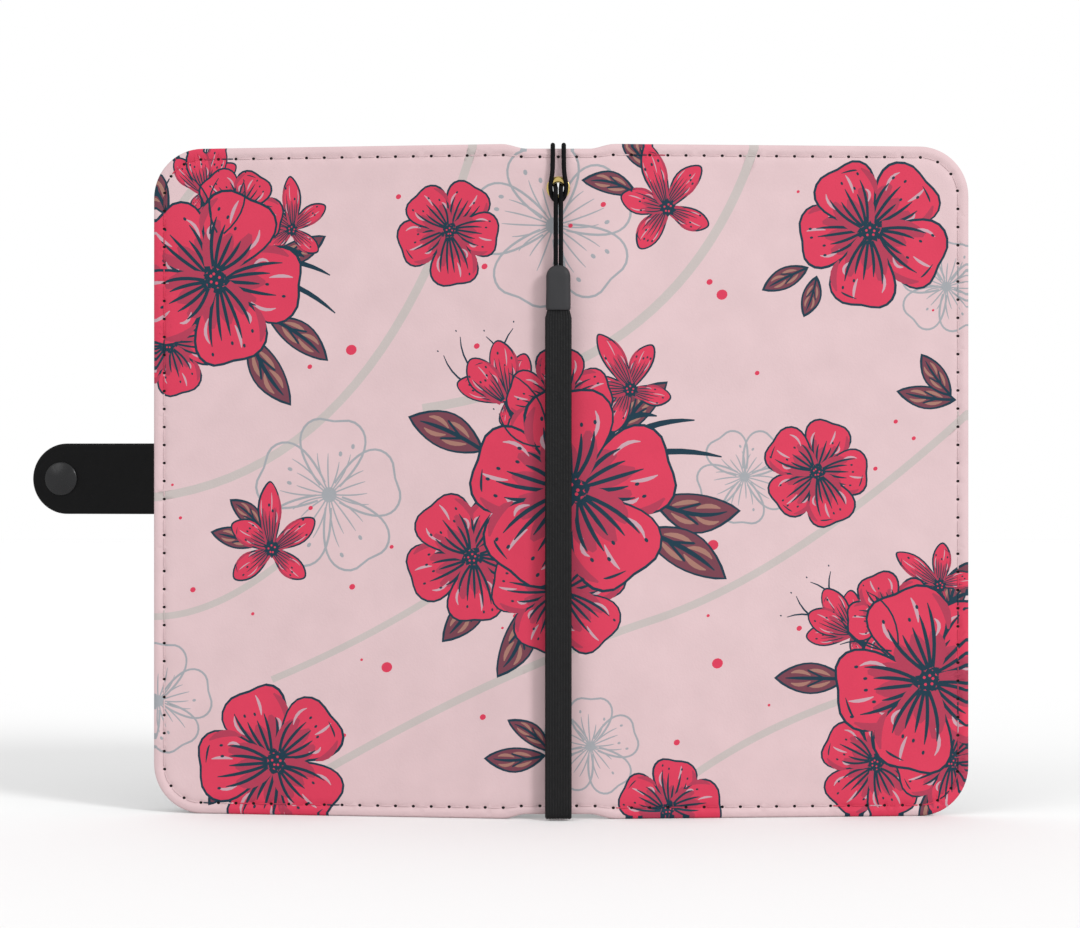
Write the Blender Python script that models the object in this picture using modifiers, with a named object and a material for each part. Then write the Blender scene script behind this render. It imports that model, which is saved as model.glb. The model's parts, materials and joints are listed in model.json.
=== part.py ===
"""Folio wallet case for a phone, standing half open with its outer side towards -Y.

The spine is the fixed piece.  The two covers turn on upright hinge lines beside it, the closing tab
folds twice round the free edges, the phone tray slides up the back cover, and a wrist strap hangs
from an eyelet in the spine.  Metres, +Z up along the spine, +X towards the front cover.
"""

from math import asin, cos, pi, radians, sin

import bmesh
import bpy
from mathutils import Vector

# ---- driving dimensions ---------------------------------------------------------------------

PHONE_W = 0.0673
PHONE_H = 0.1384
PHONE_T = 0.0071

END_MARGIN = 0.0048  # cover beyond the phone at each end
SIDE_MARGIN = 0.0072  # and at each side, counted from the hinge leather
CORNER_R = 0.011
SPINE_DIP = 0.0011  # how much shorter the spine is at each end
DIP_RUN = 0.003  # the slope from the spine's height to the cover's

SKIN_T = 0.0006
BOARD_T = 0.0007
LINING_T = 0.0004
GLUE = 0.00015
GAP = 0.0003
BOARD_INSET = 0.0036  # keeps the boards inside the stitched rim

FLEX_HALF = 0.0028  # half the width of the soft hinge leather
FLEX_T = 0.0013

BACK_OPEN = radians(9.0)  # how far each cover leans back from flat as it stands
FRONT_OPEN = radians(5.0)

# phone tray and the plate that it slides on
SLIDE_TRAVEL = 0.022
PLATE_END = 0.0102  # the slide plate is this much shorter than the phone at each end
PLATE_EDGE = 0.0053  # plate beside the slots
PLATE_T = 0.0012
PLATE_R = 0.004
SLIDE_GAP = 0.0002
TRAY_FLOOR = 0.0009
TRAY_WALL = 0.0012
TRAY_ROOM = 0.0002  # play between the phone and the tray's wall
TRAY_LIP = 0.0005
TRAY_LIP_T = 0.0007
TRAY_R = 0.0098
STUD_NECK_R = 0.0015
STUD_HEAD_R = 0.0025
STUD_HEAD_T = 0.0004
SLOT_PLAY = 0.00015
NECK_DEPTH = 0.0005
STUD_X = 0.014
STUD_END = 0.012  # from the plate's ends to the nearest studs at the ends of their travel
KEY_SILL = 0.0016  # wall left standing under the key and port openings
KEY_TOP = 0.022  # keys, port and camera, from the tray's upper or lower edge
VOLUME_H = 0.044
POWER_H = 0.018
PORT_W = 0.048
CAMERA_W = 0.022
CAMERA_H = 0.010
CAMERA_EDGE = 0.006

# card pockets
POCKET_T = 0.00035
SLOT_SIDE = 0.00785  # cover beside the card slots
SLOT_STEP = 0.018
SLOT_LAP = 0.004
SLOT_RISE = 0.0005
SLOT_COUNT = 3
LOW_SLOT_Z = 0.012
LOW_SLOT_H = 0.052
CARD_ROOM = 0.0002
POCKET_INSET = 0.0044

# closing tab
TAB_W = 0.0158
FLAP_L = 0.0118  # the tab beyond its second fold
TAB_RISE = 0.0005
TAB_T = 0.0012
TAB_ROOT_GRIP = 0.012
FLAP_LEATHER_T = 0.0005
MAGNET_T = 0.0006
MAGNET_R = 0.0032
MAGNET_FROM_END = 0.0046
CAP_R = 0.00375
CAP_FROM_END = 0.00665
CAP_H = 0.0011
CAP_RIM = 0.00045
POST_R = 0.0010
FOLD_GAP = 0.0001
TAB_AIR = 0.0002  # between the folded tab and the closed covers
KEEPER_W = 0.0065
KEEPER_H = 0.014
KEEPER_T = 0.0005

# eyelet and wrist strap
EYELET_DROP = 0.00875
CORD_R = 0.0005
CORD_PLAY = 0.0003  # round the two strands in the eyelet
STRAND_AIR = 0.00005  # from each strand to the middle line between them
STRAND_SPREAD = 0.0004  # how far outside the eyelet's bore the hitch's loop passes
HITCH_APART = 0.0012  # from the middle to each strand of the hitch over the spine's top
HITCH_STEP = 0.0001  # the small shifts that lead the hitch round its bends
HITCH_EDGE = 0.0022  # the strands leave the leather this far below the spine's top
HITCH_SHOULDER = 0.0034  # the loop's bends, above and below the eyelet's centre
HITCH_CHEEK = 0.0021
HITCH_FOOT = 0.0029
HITCH_TURN = 0.0009  # the same on the inside, where the strands turn up
HITCH_CLIMB = 0.0028
STRAND_SAG = 0.0001
CROWN_START = 0.0011  # where the strap's cord bends over the hitch, and how far down its crown is
CROWN_DROP = 0.0001
BARREL_OUT = 0.00015  # the barrel's end beyond its washer
EYELET_WALL = 0.0003
EYELET_FLANGE_R = 0.0026
EYELET_FLANGE_T = 0.0004
FLANGE_AIR = 0.00005  # between the flange and the leather
WASHER_T = 0.0004
CRIMP_DROP = 0.017  # from the eyelet's centre to the crimp's top
CRIMP_W = 0.0054
CRIMP_T = 0.0036
CRIMP_H = 0.0098
CRIMP_EDGE = 0.0006
CRIMP_FLAT = 0.0002  # half the flat on the dome of the crimp's top
WEB_W = 0.0058
WEB_T = 0.0010
WEB_SLOT = 0.0004
WEB_CLEAR_Z = 0.0003

ARC_STEPS = 7
TURN_STEPS = 24

# ---- sizes that follow from them --------------------------------------------------------------

CASE_H = PHONE_H + 2 * END_MARGIN
COVER_W = FLEX_HALF + PHONE_W + 2 * SIDE_MARGIN  # from a hinge line to the cover's free edge
COVER_T = SKIN_T + GLUE + BOARD_T + GLUE + LINING_T
HINGE_Y = COVER_T / 2
TRAY_H_OUT = TRAY_FLOOR + PHONE_T
SLOT_STACK = GLUE + POCKET_T + GLUE + POCKET_T + SLOT_RISE
CLOSED_GAP = GLUE + PLATE_T + SLIDE_GAP + TRAY_H_OUT + CARD_ROOM + SLOT_STACK
CLOSED_T = CLOSED_GAP + 2 * COVER_T
HINGE_X = CLOSED_T / 2 - HINGE_Y
SPINE_HALF = HINGE_X - FLEX_HALF
SPINE_TOP = CASE_H - SPINE_DIP

SKIN_Y = SKIN_T / 2
BOARD_Y = SKIN_T + GLUE + BOARD_T / 2
LINING_Y = COVER_T - LINING_T / 2

FLAP_T = 2 * FLAP_LEATHER_T + MAGNET_T + 2 * GLUE
TAB_Z = CASE_H / 2 + TAB_RISE
ROOT_FOLD = COVER_W + TAB_T / 2 + TAB_AIR
FOLD_SPAN = CLOSED_T + TAB_AIR + FLAP_T / 2 - HINGE_Y
END_FOLD = ROOT_FOLD + FOLD_SPAN
TAB_END = END_FOLD + FLAP_L
CAP_A = TAB_END - CAP_FROM_END
MAGNET_A = TAB_END - MAGNET_FROM_END
KEEPER_A = ROOT_FOLD - (MAGNET_A - END_FOLD)  # where the folded tab's magnet comes to lie

TRAY_W_OUT = PHONE_W + 2 * (TRAY_ROOM + TRAY_WALL)
TRAY_LEN = PHONE_H + 2 * (TRAY_ROOM + TRAY_WALL)
INSIDE_A = (FLEX_HALF + COVER_W) / 2  # middle of a cover's flat inner side
TRAY_Z = (CASE_H - TRAY_LEN) / 2
PLATE_LOW = COVER_T + GLUE
PLATE_H = PHONE_H - 2 * PLATE_END
PLATE_W = 2 * (STUD_X + STUD_HEAD_R + SLOT_PLAY + PLATE_EDGE)
PLATE_Z = (CASE_H - PLATE_H) / 2
STUD_PITCH = PLATE_H - 2 * STUD_END - SLIDE_TRAVEL
TRAY_LOW = PLATE_LOW + PLATE_T + SLIDE_GAP
SLOT_W = COVER_W - FLEX_HALF - 2 * SLOT_SIDE

EYELET_Z = SPINE_TOP - EYELET_DROP
EYELET_BORE_R = 2 * CORD_R + CORD_PLAY
HITCH_Y = -(EYELET_FLANGE_T + GLUE + CORD_R)  # the loop of the hitch, over the eyelet's flange
STRAP_Y = HITCH_Y - 2 * CORD_R - GAP  # the hanging strap's own mid-plane
CRIMP_TOP = EYELET_Z - CRIMP_DROP
CRIMP_LOW = CRIMP_TOP - CRIMP_H
WEB_DEEP = WEB_T + WEB_SLOT / 2  # half the loop's depth
WEB_PIVOT_Z = CRIMP_LOW - GAP - WEB_DEEP

# the case stands with the middle of its box over the origin
LEFT_END = -HINGE_X - TAB_END * cos(BACK_OPEN) - FLAP_T / 2 * sin(BACK_OPEN)
RIGHT_END = HINGE_X + COVER_W * cos(FRONT_OPEN) + HINGE_Y * sin(FRONT_OPEN)
TRAY_FAR_A = INSIDE_A + TRAY_W_OUT / 2
TRAY_TOP_B = TRAY_LOW + TRAY_H_OUT - HINGE_Y
BACK_END = HINGE_Y + TRAY_FAR_A * sin(BACK_OPEN) + TRAY_TOP_B * cos(BACK_OPEN)
FRONT_END = -EYELET_FLANGE_T
SHIFT_X = -(LEFT_END + RIGHT_END) / 2
SHIFT_Y = -(BACK_END + FRONT_END) / 2

# ---- helpers ------------------------------------------------------------------------------------


def clear_scene():
    for old in list(bpy.data.objects):
        bpy.data.objects.remove(old, do_unlink=True)


def collection(name):
    made = bpy.data.collections.new(name)
    bpy.context.scene.collection.children.link(made)
    return made


def material(name, color, roughness, metallic=0.0):
    made = bpy.data.materials.new(name)
    made.use_nodes = True
    shader = made.node_tree.nodes["Principled BSDF"]
    shader.inputs["Base Color"].default_value = (*color, 1.0)
    shader.inputs["Roughness"].default_value = roughness
    shader.inputs["Metallic"].default_value = metallic
    return made


def pivot(name, place, turn=0.0, parent=None):
    """An empty on a joint's axis."""
    made = bpy.data.objects.new(name, None)
    made.location = place
    made.rotation_euler = (0.0, 0.0, turn)
    made.parent = parent
    made.empty_display_size = 0.01
    CASE.objects.link(made)
    return made


def rounded(x0, x1, z0, z1, radii):
    """A rectangle's outline; radii start at the low x, low z corner and go round by the low z side."""
    corners = (
        (x0, z0, 1, 1, pi),
        (x1, z0, -1, 1, 1.5 * pi),
        (x1, z1, -1, -1, 0.0),
        (x0, z1, 1, -1, pi / 2),
    )
    points = []
    for (x, z, in_x, in_z, start), radius in zip(corners, radii):
        if radius == 0:
            points.append((x, z))
            continue
        centre_x = x + in_x * radius
        centre_z = z + in_z * radius
        for step in range(ARC_STEPS + 1):
            angle = start + pi / 2 * step / ARC_STEPS
            points.append((centre_x + radius * cos(angle), centre_z + radius * sin(angle)))
    return points


def side_flip(points, side):
    """Points drawn for the front cover, turned over for the back cover."""
    if side > 0:
        return points
    return [(-x, z) for x, z in reversed(points)]


def finish_mesh(curve, place, turn, parent, group):
    """The curve's solid as a mesh object with its caps welded."""
    data = bpy.data.meshes.new_from_object(curve.evaluated_get(bpy.context.evaluated_depsgraph_get()))
    name = curve.name
    bpy.data.objects.remove(curve, do_unlink=True)
    shell = bmesh.new()
    shell.from_mesh(data)
    bmesh.ops.remove_doubles(shell, verts=shell.verts, dist=1e-7)
    bmesh.ops.recalc_face_normals(shell, faces=shell.faces)
    shell.to_mesh(data)
    shell.free()
    made = bpy.data.objects.new(name, data)
    data.name = name
    made.location = place
    made.rotation_euler = turn
    made.parent = parent
    group.objects.link(made)
    return made


def plate(name, outline, thickness, parent, middle, finish=None, tilt=0.0, turn=0.0, x=0.0, z=0.0):
    """A flat piece of one thickness, cut to an outline in the X-Z plane."""
    data = bpy.data.curves.new(name, "CURVE")
    data.dimensions = "2D"
    data.fill_mode = "BOTH"
    data.extrude = thickness / 2
    spline = data.splines.new("POLY")
    spline.points.add(len(outline) - 1)
    for point, (across, up) in zip(spline.points, outline):
        point.co = (across, up, 0.0, 1.0)
    spline.use_cyclic_u = True
    curve = bpy.data.objects.new(name, data)
    group = CUTTERS if finish is None else CASE
    group.objects.link(curve)
    made = finish_mesh(curve, (x, middle, z), (pi / 2 + tilt, 0.0, turn), parent, group)
    if finish is None:
        made.hide_render = True
        made.display_type = "WIRE"
    else:
        made.data.materials.append(finish)
    return made


def cut(piece, cutter, operation="DIFFERENCE"):
    step = piece.modifiers.new(f"{operation.lower()} {cutter.name}", "BOOLEAN")
    step.operation = operation
    step.solver = "EXACT"
    step.object = cutter


def soften(piece, width, segments=2):
    edge = piece.modifiers.new("soft edges", "BEVEL")
    edge.width = width
    edge.segments = segments
    edge.limit_method = "ANGLE"
    edge.angle_limit = radians(50)


def turned(name, profile, parent, place, finish=None, closed=False):
    """A round piece: a profile of (radius, height) turned about its axis, which then points to -Y."""
    data = bpy.data.meshes.new(name)
    shell = bmesh.new()
    verts = [shell.verts.new((radius, 0.0, height)) for radius, height in profile]
    for first, second in zip(verts, verts[1:]):
        shell.edges.new((first, second))
    if closed:
        shell.edges.new((verts[-1], verts[0]))
    shell.to_mesh(data)
    shell.free()
    made = bpy.data.objects.new(name, data)
    made.location = place
    made.rotation_euler = (pi / 2, 0.0, 0.0)
    made.parent = parent
    screw = made.modifiers.new("turn", "SCREW")
    screw.steps = TURN_STEPS
    screw.render_steps = TURN_STEPS
    screw.use_merge_vertices = True
    screw.merge_threshold = 0.00001
    group = CUTTERS if finish is None else CASE
    group.objects.link(made)
    if finish is None:
        made.hide_render = True
        made.display_type = "WIRE"
    else:
        made.data.materials.append(finish)
    return made


def disc(name, radius, height, parent, place, finish=None):
    """A plain round disc whose middle is at its place."""
    profile = [(0.0, height / 2), (radius, height / 2), (radius, -height / 2), (0.0, -height / 2)]
    return turned(name, profile, parent, place, finish)


def smooth_route(points, spacing):
    """A smooth curve through the points, read off at about the given spacing."""
    ends = [2 * points[0] - points[1], *points, 2 * points[-1] - points[-2]]
    route = [points[0]]
    for before, start, stop, after in zip(ends, ends[1:], ends[2:], ends[3:]):
        steps = max(1, round((stop - start).length / spacing))
        for step in range(1, steps + 1):
            t = step / steps
            pull = 2 * start + (stop - before) * t
            bend = (2 * before - 5 * start + 4 * stop - after) * t**2
            swing = (3 * start - before - 3 * stop + after) * t**3
            route.append((pull + bend + swing) / 2)
    return route


def cord(name, points, parent, finish):
    """A round cord along its route, with flat ends."""
    data = bpy.data.curves.new(name, "CURVE")
    data.dimensions = "3D"
    data.bevel_depth = CORD_R
    data.bevel_resolution = 2
    data.use_fill_caps = True
    spline = data.splines.new("POLY")
    route = smooth_route(points, 2.2 * CORD_R)
    spline.points.add(len(route) - 1)
    for point, place in zip(spline.points, route):
        point.co = (*place, 1.0)
    curve = bpy.data.objects.new(name, data)
    CASE.objects.link(curve)
    made = finish_mesh(curve, (0.0, 0.0, 0.0), (0.0, 0.0, 0.0), parent, CASE)
    made.data.materials.append(finish)
    made.data.shade_smooth()
    return made


# ---- spine ----------------------------------------------------------------------------------------


def make_spine():
    half = SPINE_HALF
    outline = rounded(-half, half, SPINE_DIP, SPINE_TOP, (0, 0, 0, 0))
    inner = rounded(-half + GAP, half - GAP, SPINE_DIP + BOARD_INSET, SPINE_TOP - GAP, (0, 0, 0, 0))
    skin = plate("spine_skin", outline, SKIN_T, ROOT, SKIN_Y, PRINTED_SKIN)
    board = plate("spine_board", inner, BOARD_T, ROOT, BOARD_Y, BOARD)
    lining = plate("spine_lining", outline, LINING_T, ROOT, LINING_Y, LINING)
    hole_r = EYELET_BORE_R + EYELET_WALL + SLOT_PLAY
    hole = disc("eyelet_hole", hole_r, 3 * COVER_T, ROOT, (0.0, HINGE_Y, EYELET_Z))
    for piece in (skin, board, lining):
        cut(piece, hole)


def make_hinge_leather(name, side, lean):
    """The strip of soft leather between the spine and one cover, half way between their angles."""
    middle = pivot(f"{name}_line", (side * HINGE_X, HINGE_Y, 0.0), side * lean / 2, ROOT)
    half = FLEX_HALF - GAP
    outline = rounded(-half, half, SPINE_DIP, SPINE_TOP, (0, 0, 0, 0))
    plate(name, outline, FLEX_T, middle, 0.0, PRINTED_SKIN)


def make_eyelet():
    barrel_r = EYELET_BORE_R + EYELET_WALL
    depth = COVER_T + WASHER_T + GLUE + BARREL_OUT
    rise = EYELET_FLANGE_T
    profile = [(EYELET_BORE_R, -depth), (EYELET_BORE_R, rise * 0.6), (barrel_r, rise)]
    profile += [(EYELET_FLANGE_R - rise * 0.6, rise), (EYELET_FLANGE_R, rise * 0.5)]
    profile += [(EYELET_FLANGE_R, FLANGE_AIR), (barrel_r, FLANGE_AIR), (barrel_r, -depth)]
    turned("eyelet", profile, ROOT, (0.0, 0.0, EYELET_Z), BRASS, closed=True)
    inner = barrel_r + SLOT_PLAY
    low = GLUE
    high = GLUE + WASHER_T
    ring = [(inner, low), (inner, high), (EYELET_FLANGE_R, high), (EYELET_FLANGE_R, low)]
    washer = turned("eyelet_washer", ring, ROOT, (0.0, COVER_T, EYELET_Z), BRASS, closed=True)
    washer.rotation_euler = (-pi / 2, 0.0, 0.0)


# ---- covers ---------------------------------------------------------------------------------------


def cover_outline(inset, side, near):
    """A cover's outline: round free corners, and a slope down to the spine's height near the hinge."""
    right = COVER_W - inset
    low = inset
    high = CASE_H - inset
    radius = CORNER_R - inset
    outline = rounded(near, right, low, high, (0, radius, radius, 0))
    if inset == 0:
        outline = [(near, SPINE_DIP), (near + DIP_RUN, low)] + outline[1:-1]
        outline += [(near + DIP_RUN, high), (near, SPINE_TOP)]
    return side_flip(outline, side)


def make_cover(name, side, carrier):
    near = FLEX_HALF
    outline = cover_outline(0.0, side, near)
    inner = cover_outline(BOARD_INSET, side, near + GAP)
    plate(f"{name}_skin", outline, SKIN_T, carrier, SKIN_Y - HINGE_Y, PRINTED_SKIN)
    plate(f"{name}_lining", outline, LINING_T, carrier, LINING_Y - HINGE_Y, LINING)
    return plate(f"{name}_board", inner, BOARD_T, carrier, BOARD_Y - HINGE_Y, BOARD)


# ---- closing tab ------------------------------------------------------------------------------------


def make_tab(back_board):
    half = TAB_W / 2
    top = TAB_Z + half
    low = TAB_Z - half
    grip = COVER_W - TAB_ROOT_GRIP
    root = rounded(-COVER_W, -grip, low, top, (0, 0, 0, 0))
    plate("tab_root", root, BOARD_T, BACK, BOARD_Y - HINGE_Y, TAB_LEATHER)
    notch = rounded(-COVER_W - GAP, -grip + GAP, low - GAP, top + GAP, (0, 0, 0, 0))
    cut(back_board, plate("tab_notch", notch, 3 * BOARD_T, BACK, BOARD_Y - HINGE_Y))

    start = TAB_T / 2 + FOLD_GAP
    stop = FOLD_SPAN - FLAP_T / 2 - FOLD_GAP
    bridge = rounded(-stop, -start, low, top, (0, 0, 0, 0))
    plate("tab_bridge", bridge, TAB_T, BRIDGE, 0.0, TAB_LEATHER)

    near = TAB_T / 2 + FOLD_GAP
    end = TAB_END - END_FOLD
    steps = 2 * ARC_STEPS + 2
    arc_x = end - half
    outline = [(near, low)]
    for step in range(steps + 1):
        angle = -pi / 2 + pi * step / steps
        outline.append((arc_x + half * cos(angle), TAB_Z + half * sin(angle)))
    outline.append((near, top))
    outline = side_flip(outline, -1)
    leather_y = (FLAP_T - FLAP_LEATHER_T) / 2
    face = plate("tab_face", outline, FLAP_LEATHER_T, FLAP, -leather_y, TAB_LEATHER)
    plate("tab_backing", outline, FLAP_LEATHER_T, FLAP, leather_y, TAB_LEATHER)
    disc("tab_magnet", MAGNET_R, MAGNET_T, FLAP, (-(MAGNET_A - END_FOLD), 0.0, TAB_Z), STEEL)

    cap_x = -(CAP_A - END_FOLD)
    hole = disc("cap_hole", POST_R + SLOT_PLAY, 3 * FLAP_LEATHER_T, FLAP, (cap_x, -leather_y, TAB_Z))
    cut(face, hole)
    dome_r = (CAP_R**2 + (CAP_H - CAP_RIM) ** 2) / (2 * (CAP_H - CAP_RIM))
    spread = asin(CAP_R / dome_r)
    profile = []
    for step in range(6):
        angle = spread * step / 5
        profile.append((dome_r * sin(angle), CAP_H - dome_r * (1 - cos(angle))))
    profile += [(CAP_R, GLUE), (POST_R, GLUE), (POST_R, -FLAP_LEATHER_T), (0.0, -FLAP_LEATHER_T)]
    turned("tab_cap", profile, FLAP, (cap_x, -FLAP_T / 2, TAB_Z), CAP_METAL)


def make_keeper(front_board):
    """The steel plate under the front cover's skin that the tab's magnet holds to."""
    x1 = min(KEEPER_A + KEEPER_W / 2, COVER_W - BOARD_INSET)
    x0 = x1 - KEEPER_W
    low = TAB_Z - KEEPER_H / 2
    top = TAB_Z + KEEPER_H / 2
    outline = rounded(x0, x1, low, top, (0.001,) * 4)
    plate("keeper_plate", outline, KEEPER_T, FRONT, BOARD_Y - HINGE_Y, STEEL)
    notch = rounded(x0 - GAP, COVER_W, low - GAP, top + GAP, (0, 0, 0, 0))
    cut(front_board, plate("keeper_notch", notch, 3 * BOARD_T, FRONT, BOARD_Y - HINGE_Y))


# ---- phone tray -------------------------------------------------------------------------------------


def stud_places():
    for across in (-STUD_X, STUD_X):
        for up in (0.0, STUD_PITCH):
            yield across - INSIDE_A, PLATE_Z + STUD_END + up


def make_slide_plate():
    middle = -INSIDE_A
    left = middle - PLATE_W / 2
    outline = rounded(left, left + PLATE_W, PLATE_Z, PLATE_Z + PLATE_H, (PLATE_R,) * 4)
    centre_y = PLATE_LOW + PLATE_T / 2 - HINGE_Y
    piece = plate("slide_plate", outline, PLATE_T, BACK, centre_y, DARK_PLASTIC)
    neck = STUD_NECK_R + SLOT_PLAY
    head = STUD_HEAD_R + SLOT_PLAY
    head_y = PLATE_LOW - HINGE_Y + (PLATE_T - NECK_DEPTH) / 2 - PLATE_T / 2
    for number, (across, up) in enumerate(stud_places()):
        for kind, radius, depth, centre in (
            ("neck", neck, 3 * PLATE_T, centre_y),
            ("head", head, 2 * PLATE_T - NECK_DEPTH, head_y),
        ):
            top = up + SLIDE_TRAVEL + radius
            shape = rounded(across - radius, across + radius, up - radius, top, (radius,) * 4)
            cut(piece, plate(f"{kind}_slot_{number}", shape, depth, BACK, centre))


def make_tray():
    """A snap-in shell with an inward lip, open at the keys, the port and the camera."""
    half = TRAY_W_OUT / 2
    x0 = -half - INSIDE_A
    x1 = half - INSIDE_A
    z0 = TRAY_Z
    z1 = TRAY_Z + TRAY_LEN
    low = TRAY_LOW - HINGE_Y
    outline = rounded(x0, x1, z0, z1, (TRAY_R,) * 4)
    tray = plate("phone_tray", outline, TRAY_H_OUT, TRAY, low + TRAY_H_OUT / 2, TRAY_PLASTIC)
    pocket_r = TRAY_R - TRAY_WALL
    wall = TRAY_WALL
    pocket = rounded(x0 + wall, x1 - wall, z0 + wall, z1 - wall, (pocket_r,) * 4)
    room = PHONE_T - TRAY_LIP_T
    pocket_y = low + TRAY_FLOOR + room / 2
    cut(tray, plate("phone_room", pocket, room, TRAY, pocket_y))
    wall = TRAY_WALL + TRAY_LIP
    mouth = rounded(x0 + wall, x1 - wall, z0 + wall, z1 - wall, (pocket_r - TRAY_LIP,) * 4)
    cut(tray, plate("tray_mouth", mouth, 2 * room, TRAY, low + TRAY_FLOOR + room / 2 + room))

    key_y = low + TRAY_FLOOR + KEY_SILL + PHONE_T
    reach = 3 * TRAY_WALL
    key_z = z1 - KEY_TOP
    openings = {
        "volume_opening": (x0 - reach, x0 + reach, key_z - VOLUME_H, key_z),
        "power_opening": (x1 - reach, x1 + reach, key_z - POWER_H, key_z),
        "port_opening": (-INSIDE_A - PORT_W / 2, -INSIDE_A + PORT_W / 2, z0 - reach, z0 + reach),
    }
    for name, sides in openings.items():
        cut(tray, plate(name, rounded(*sides, (0,) * 4), 2 * PHONE_T, TRAY, key_y))
    camera_x = x1 - CAMERA_EDGE
    camera_z = z1 - CAMERA_EDGE
    camera = rounded(camera_x - CAMERA_W, camera_x, camera_z - CAMERA_H, camera_z, (CAMERA_H * 0.49,) * 4)
    cut(tray, plate("camera_opening", camera, 4 * TRAY_FLOOR, TRAY, low + TRAY_FLOOR / 2))

    head_low = -(SLIDE_GAP + NECK_DEPTH + SLOT_PLAY + STUD_HEAD_T)
    head_top = head_low + STUD_HEAD_T
    for number, (across, up) in enumerate(stud_places()):
        profile = [(0.0, TRAY_FLOOR / 2), (STUD_NECK_R, TRAY_FLOOR / 2), (STUD_NECK_R, head_top)]
        profile += [(STUD_HEAD_R, head_top), (STUD_HEAD_R, head_low), (0.0, head_low)]
        stud = turned(f"stud_{number}", profile, TRAY, (across, low, up))
        stud.rotation_euler = (-pi / 2, 0.0, 0.0)
        cut(tray, stud, "UNION")


# ---- card pockets -----------------------------------------------------------------------------------


def make_pockets():
    level = COVER_T + GLUE
    outline = cover_outline(POCKET_INSET, 1, FLEX_HALF + POCKET_INSET)
    plate("cash_pocket", outline, POCKET_T, FRONT, level + POCKET_T / 2 - HINGE_Y, POCKET_LEATHER)
    level += POCKET_T + GLUE
    low_z = LOW_SLOT_Z
    height = LOW_SLOT_H
    for number in range(1, SLOT_COUNT + 1):
        tilt = asin(SLOT_RISE / height)
        half = height / 2
        shape = rounded(-SLOT_W / 2, SLOT_W / 2, -half, half, (0, 0, 0.002, 0.002))
        middle = level + POCKET_T / 2 + SLOT_RISE / 2 - HINGE_Y
        plate(
            f"card_slot_{number}", shape, POCKET_T, FRONT, middle, POCKET_LEATHER,
            tilt=-tilt, x=INSIDE_A, z=low_z + half,
        )
        low_z = low_z + height - SLOT_LAP
        height = SLOT_STEP + SLOT_LAP


# ---- wrist strap ------------------------------------------------------------------------------------


def hitch_half():
    """The hitch's route on one side: out of the eyelet, up the inside, over the top, down to the loop."""
    clear = CORD_R + GLUE
    inside = COVER_T + WASHER_T + GLUE + BARREL_OUT + clear
    near = CORD_R + STRAND_AIR
    wide = EYELET_BORE_R + STRAND_SPREAD
    route = [
        Vector((near, STRAP_Y + CORD_R + GAP, EYELET_Z)),
        Vector((near, 0.0, EYELET_Z)),
        Vector((near, inside - clear, EYELET_Z)),
        Vector((near + HITCH_STEP, inside + 3 * HITCH_STEP, EYELET_Z + HITCH_TURN)),
        Vector((HITCH_APART - 3 * HITCH_STEP, inside + HITCH_STEP, EYELET_Z + HITCH_CLIMB)),
        Vector((HITCH_APART - HITCH_STEP, COVER_T + clear + GLUE, SPINE_TOP - HITCH_EDGE)),
    ]
    round_edge = clear + GLUE / 2
    for step in range(3):
        angle = pi / 4 * step
        back = COVER_T + round_edge * cos(angle)
        route.append(Vector((HITCH_APART, back, SPINE_TOP + round_edge * sin(angle))))
    for step in range(3):
        angle = pi / 4 * step
        route.append(Vector((HITCH_APART, -round_edge * sin(angle), SPINE_TOP + round_edge * cos(angle))))
    route += [
        Vector((HITCH_APART, -clear - GLUE, SPINE_TOP - HITCH_EDGE)),
        Vector((HITCH_APART + HITCH_STEP, HITCH_Y, EYELET_Z + HITCH_SHOULDER)),
        Vector((wide, HITCH_Y, EYELET_Z + 2 * HITCH_STEP)),
        Vector((HITCH_APART, HITCH_Y, EYELET_Z - HITCH_CHEEK)),
    ]
    return route


def make_strap():
    first = hitch_half()
    bottom = Vector((0.0, HITCH_Y, EYELET_Z - HITCH_FOOT))
    second = [Vector((-p.x, p.y, p.z)) for p in reversed(first)]
    cord("cord_hitch", first + [bottom] + second, ROOT, CORD_BLACK)

    near = CORD_R + STRAND_AIR
    drop = -CRIMP_DROP
    down = [
        Vector((near, 0.0, drop + GAP)),
        Vector((near, -STRAND_SAG, drop * 0.6)),
        Vector((near, 0.0, drop * 0.25)),
        Vector((near, 0.0, -CROWN_START)),
    ]
    up = [Vector((-p.x, p.y, p.z)) for p in reversed(down)]
    crown = [Vector((near * 0.7, 0.0, -CROWN_DROP)), Vector((-near * 0.7, 0.0, -CROWN_DROP))]
    cord("strap_cord", down + crown + up, STRAP, CORD_BLACK)

    half = CRIMP_W / 2
    dome = half - CRIMP_FLAT
    outline = rounded(-half, half, -CRIMP_H, 0.0, (CRIMP_EDGE, CRIMP_EDGE, dome, dome))
    crimp = plate("strap_crimp", outline, CRIMP_T, STRAP, 0.0, CRIMP_METAL, z=drop)
    soften(crimp, CRIMP_EDGE)

    web_low = WEB_CLEAR_Z - WEB_PIVOT_Z
    loop = rounded(-WEB_DEEP, WEB_DEEP, web_low, WEB_DEEP, (WEB_DEEP,) * 4)
    webbing = plate("strap_webbing", loop, WEB_W, WEB, 0.0, WEBBING, turn=pi / 2)
    slot_r = WEB_SLOT / 2
    room = rounded(-slot_r, slot_r, web_low + WEB_T, slot_r, (slot_r,) * 4)
    cut(webbing, plate("webbing_slot", room, 2 * WEB_W, WEB, 0.0, turn=pi / 2))


# ---- the case ---------------------------------------------------------------------------------------

clear_scene()
CASE = collection("folio_phone_case")
CUTTERS = collection("cutters")
CUTTERS.hide_render = True

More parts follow.
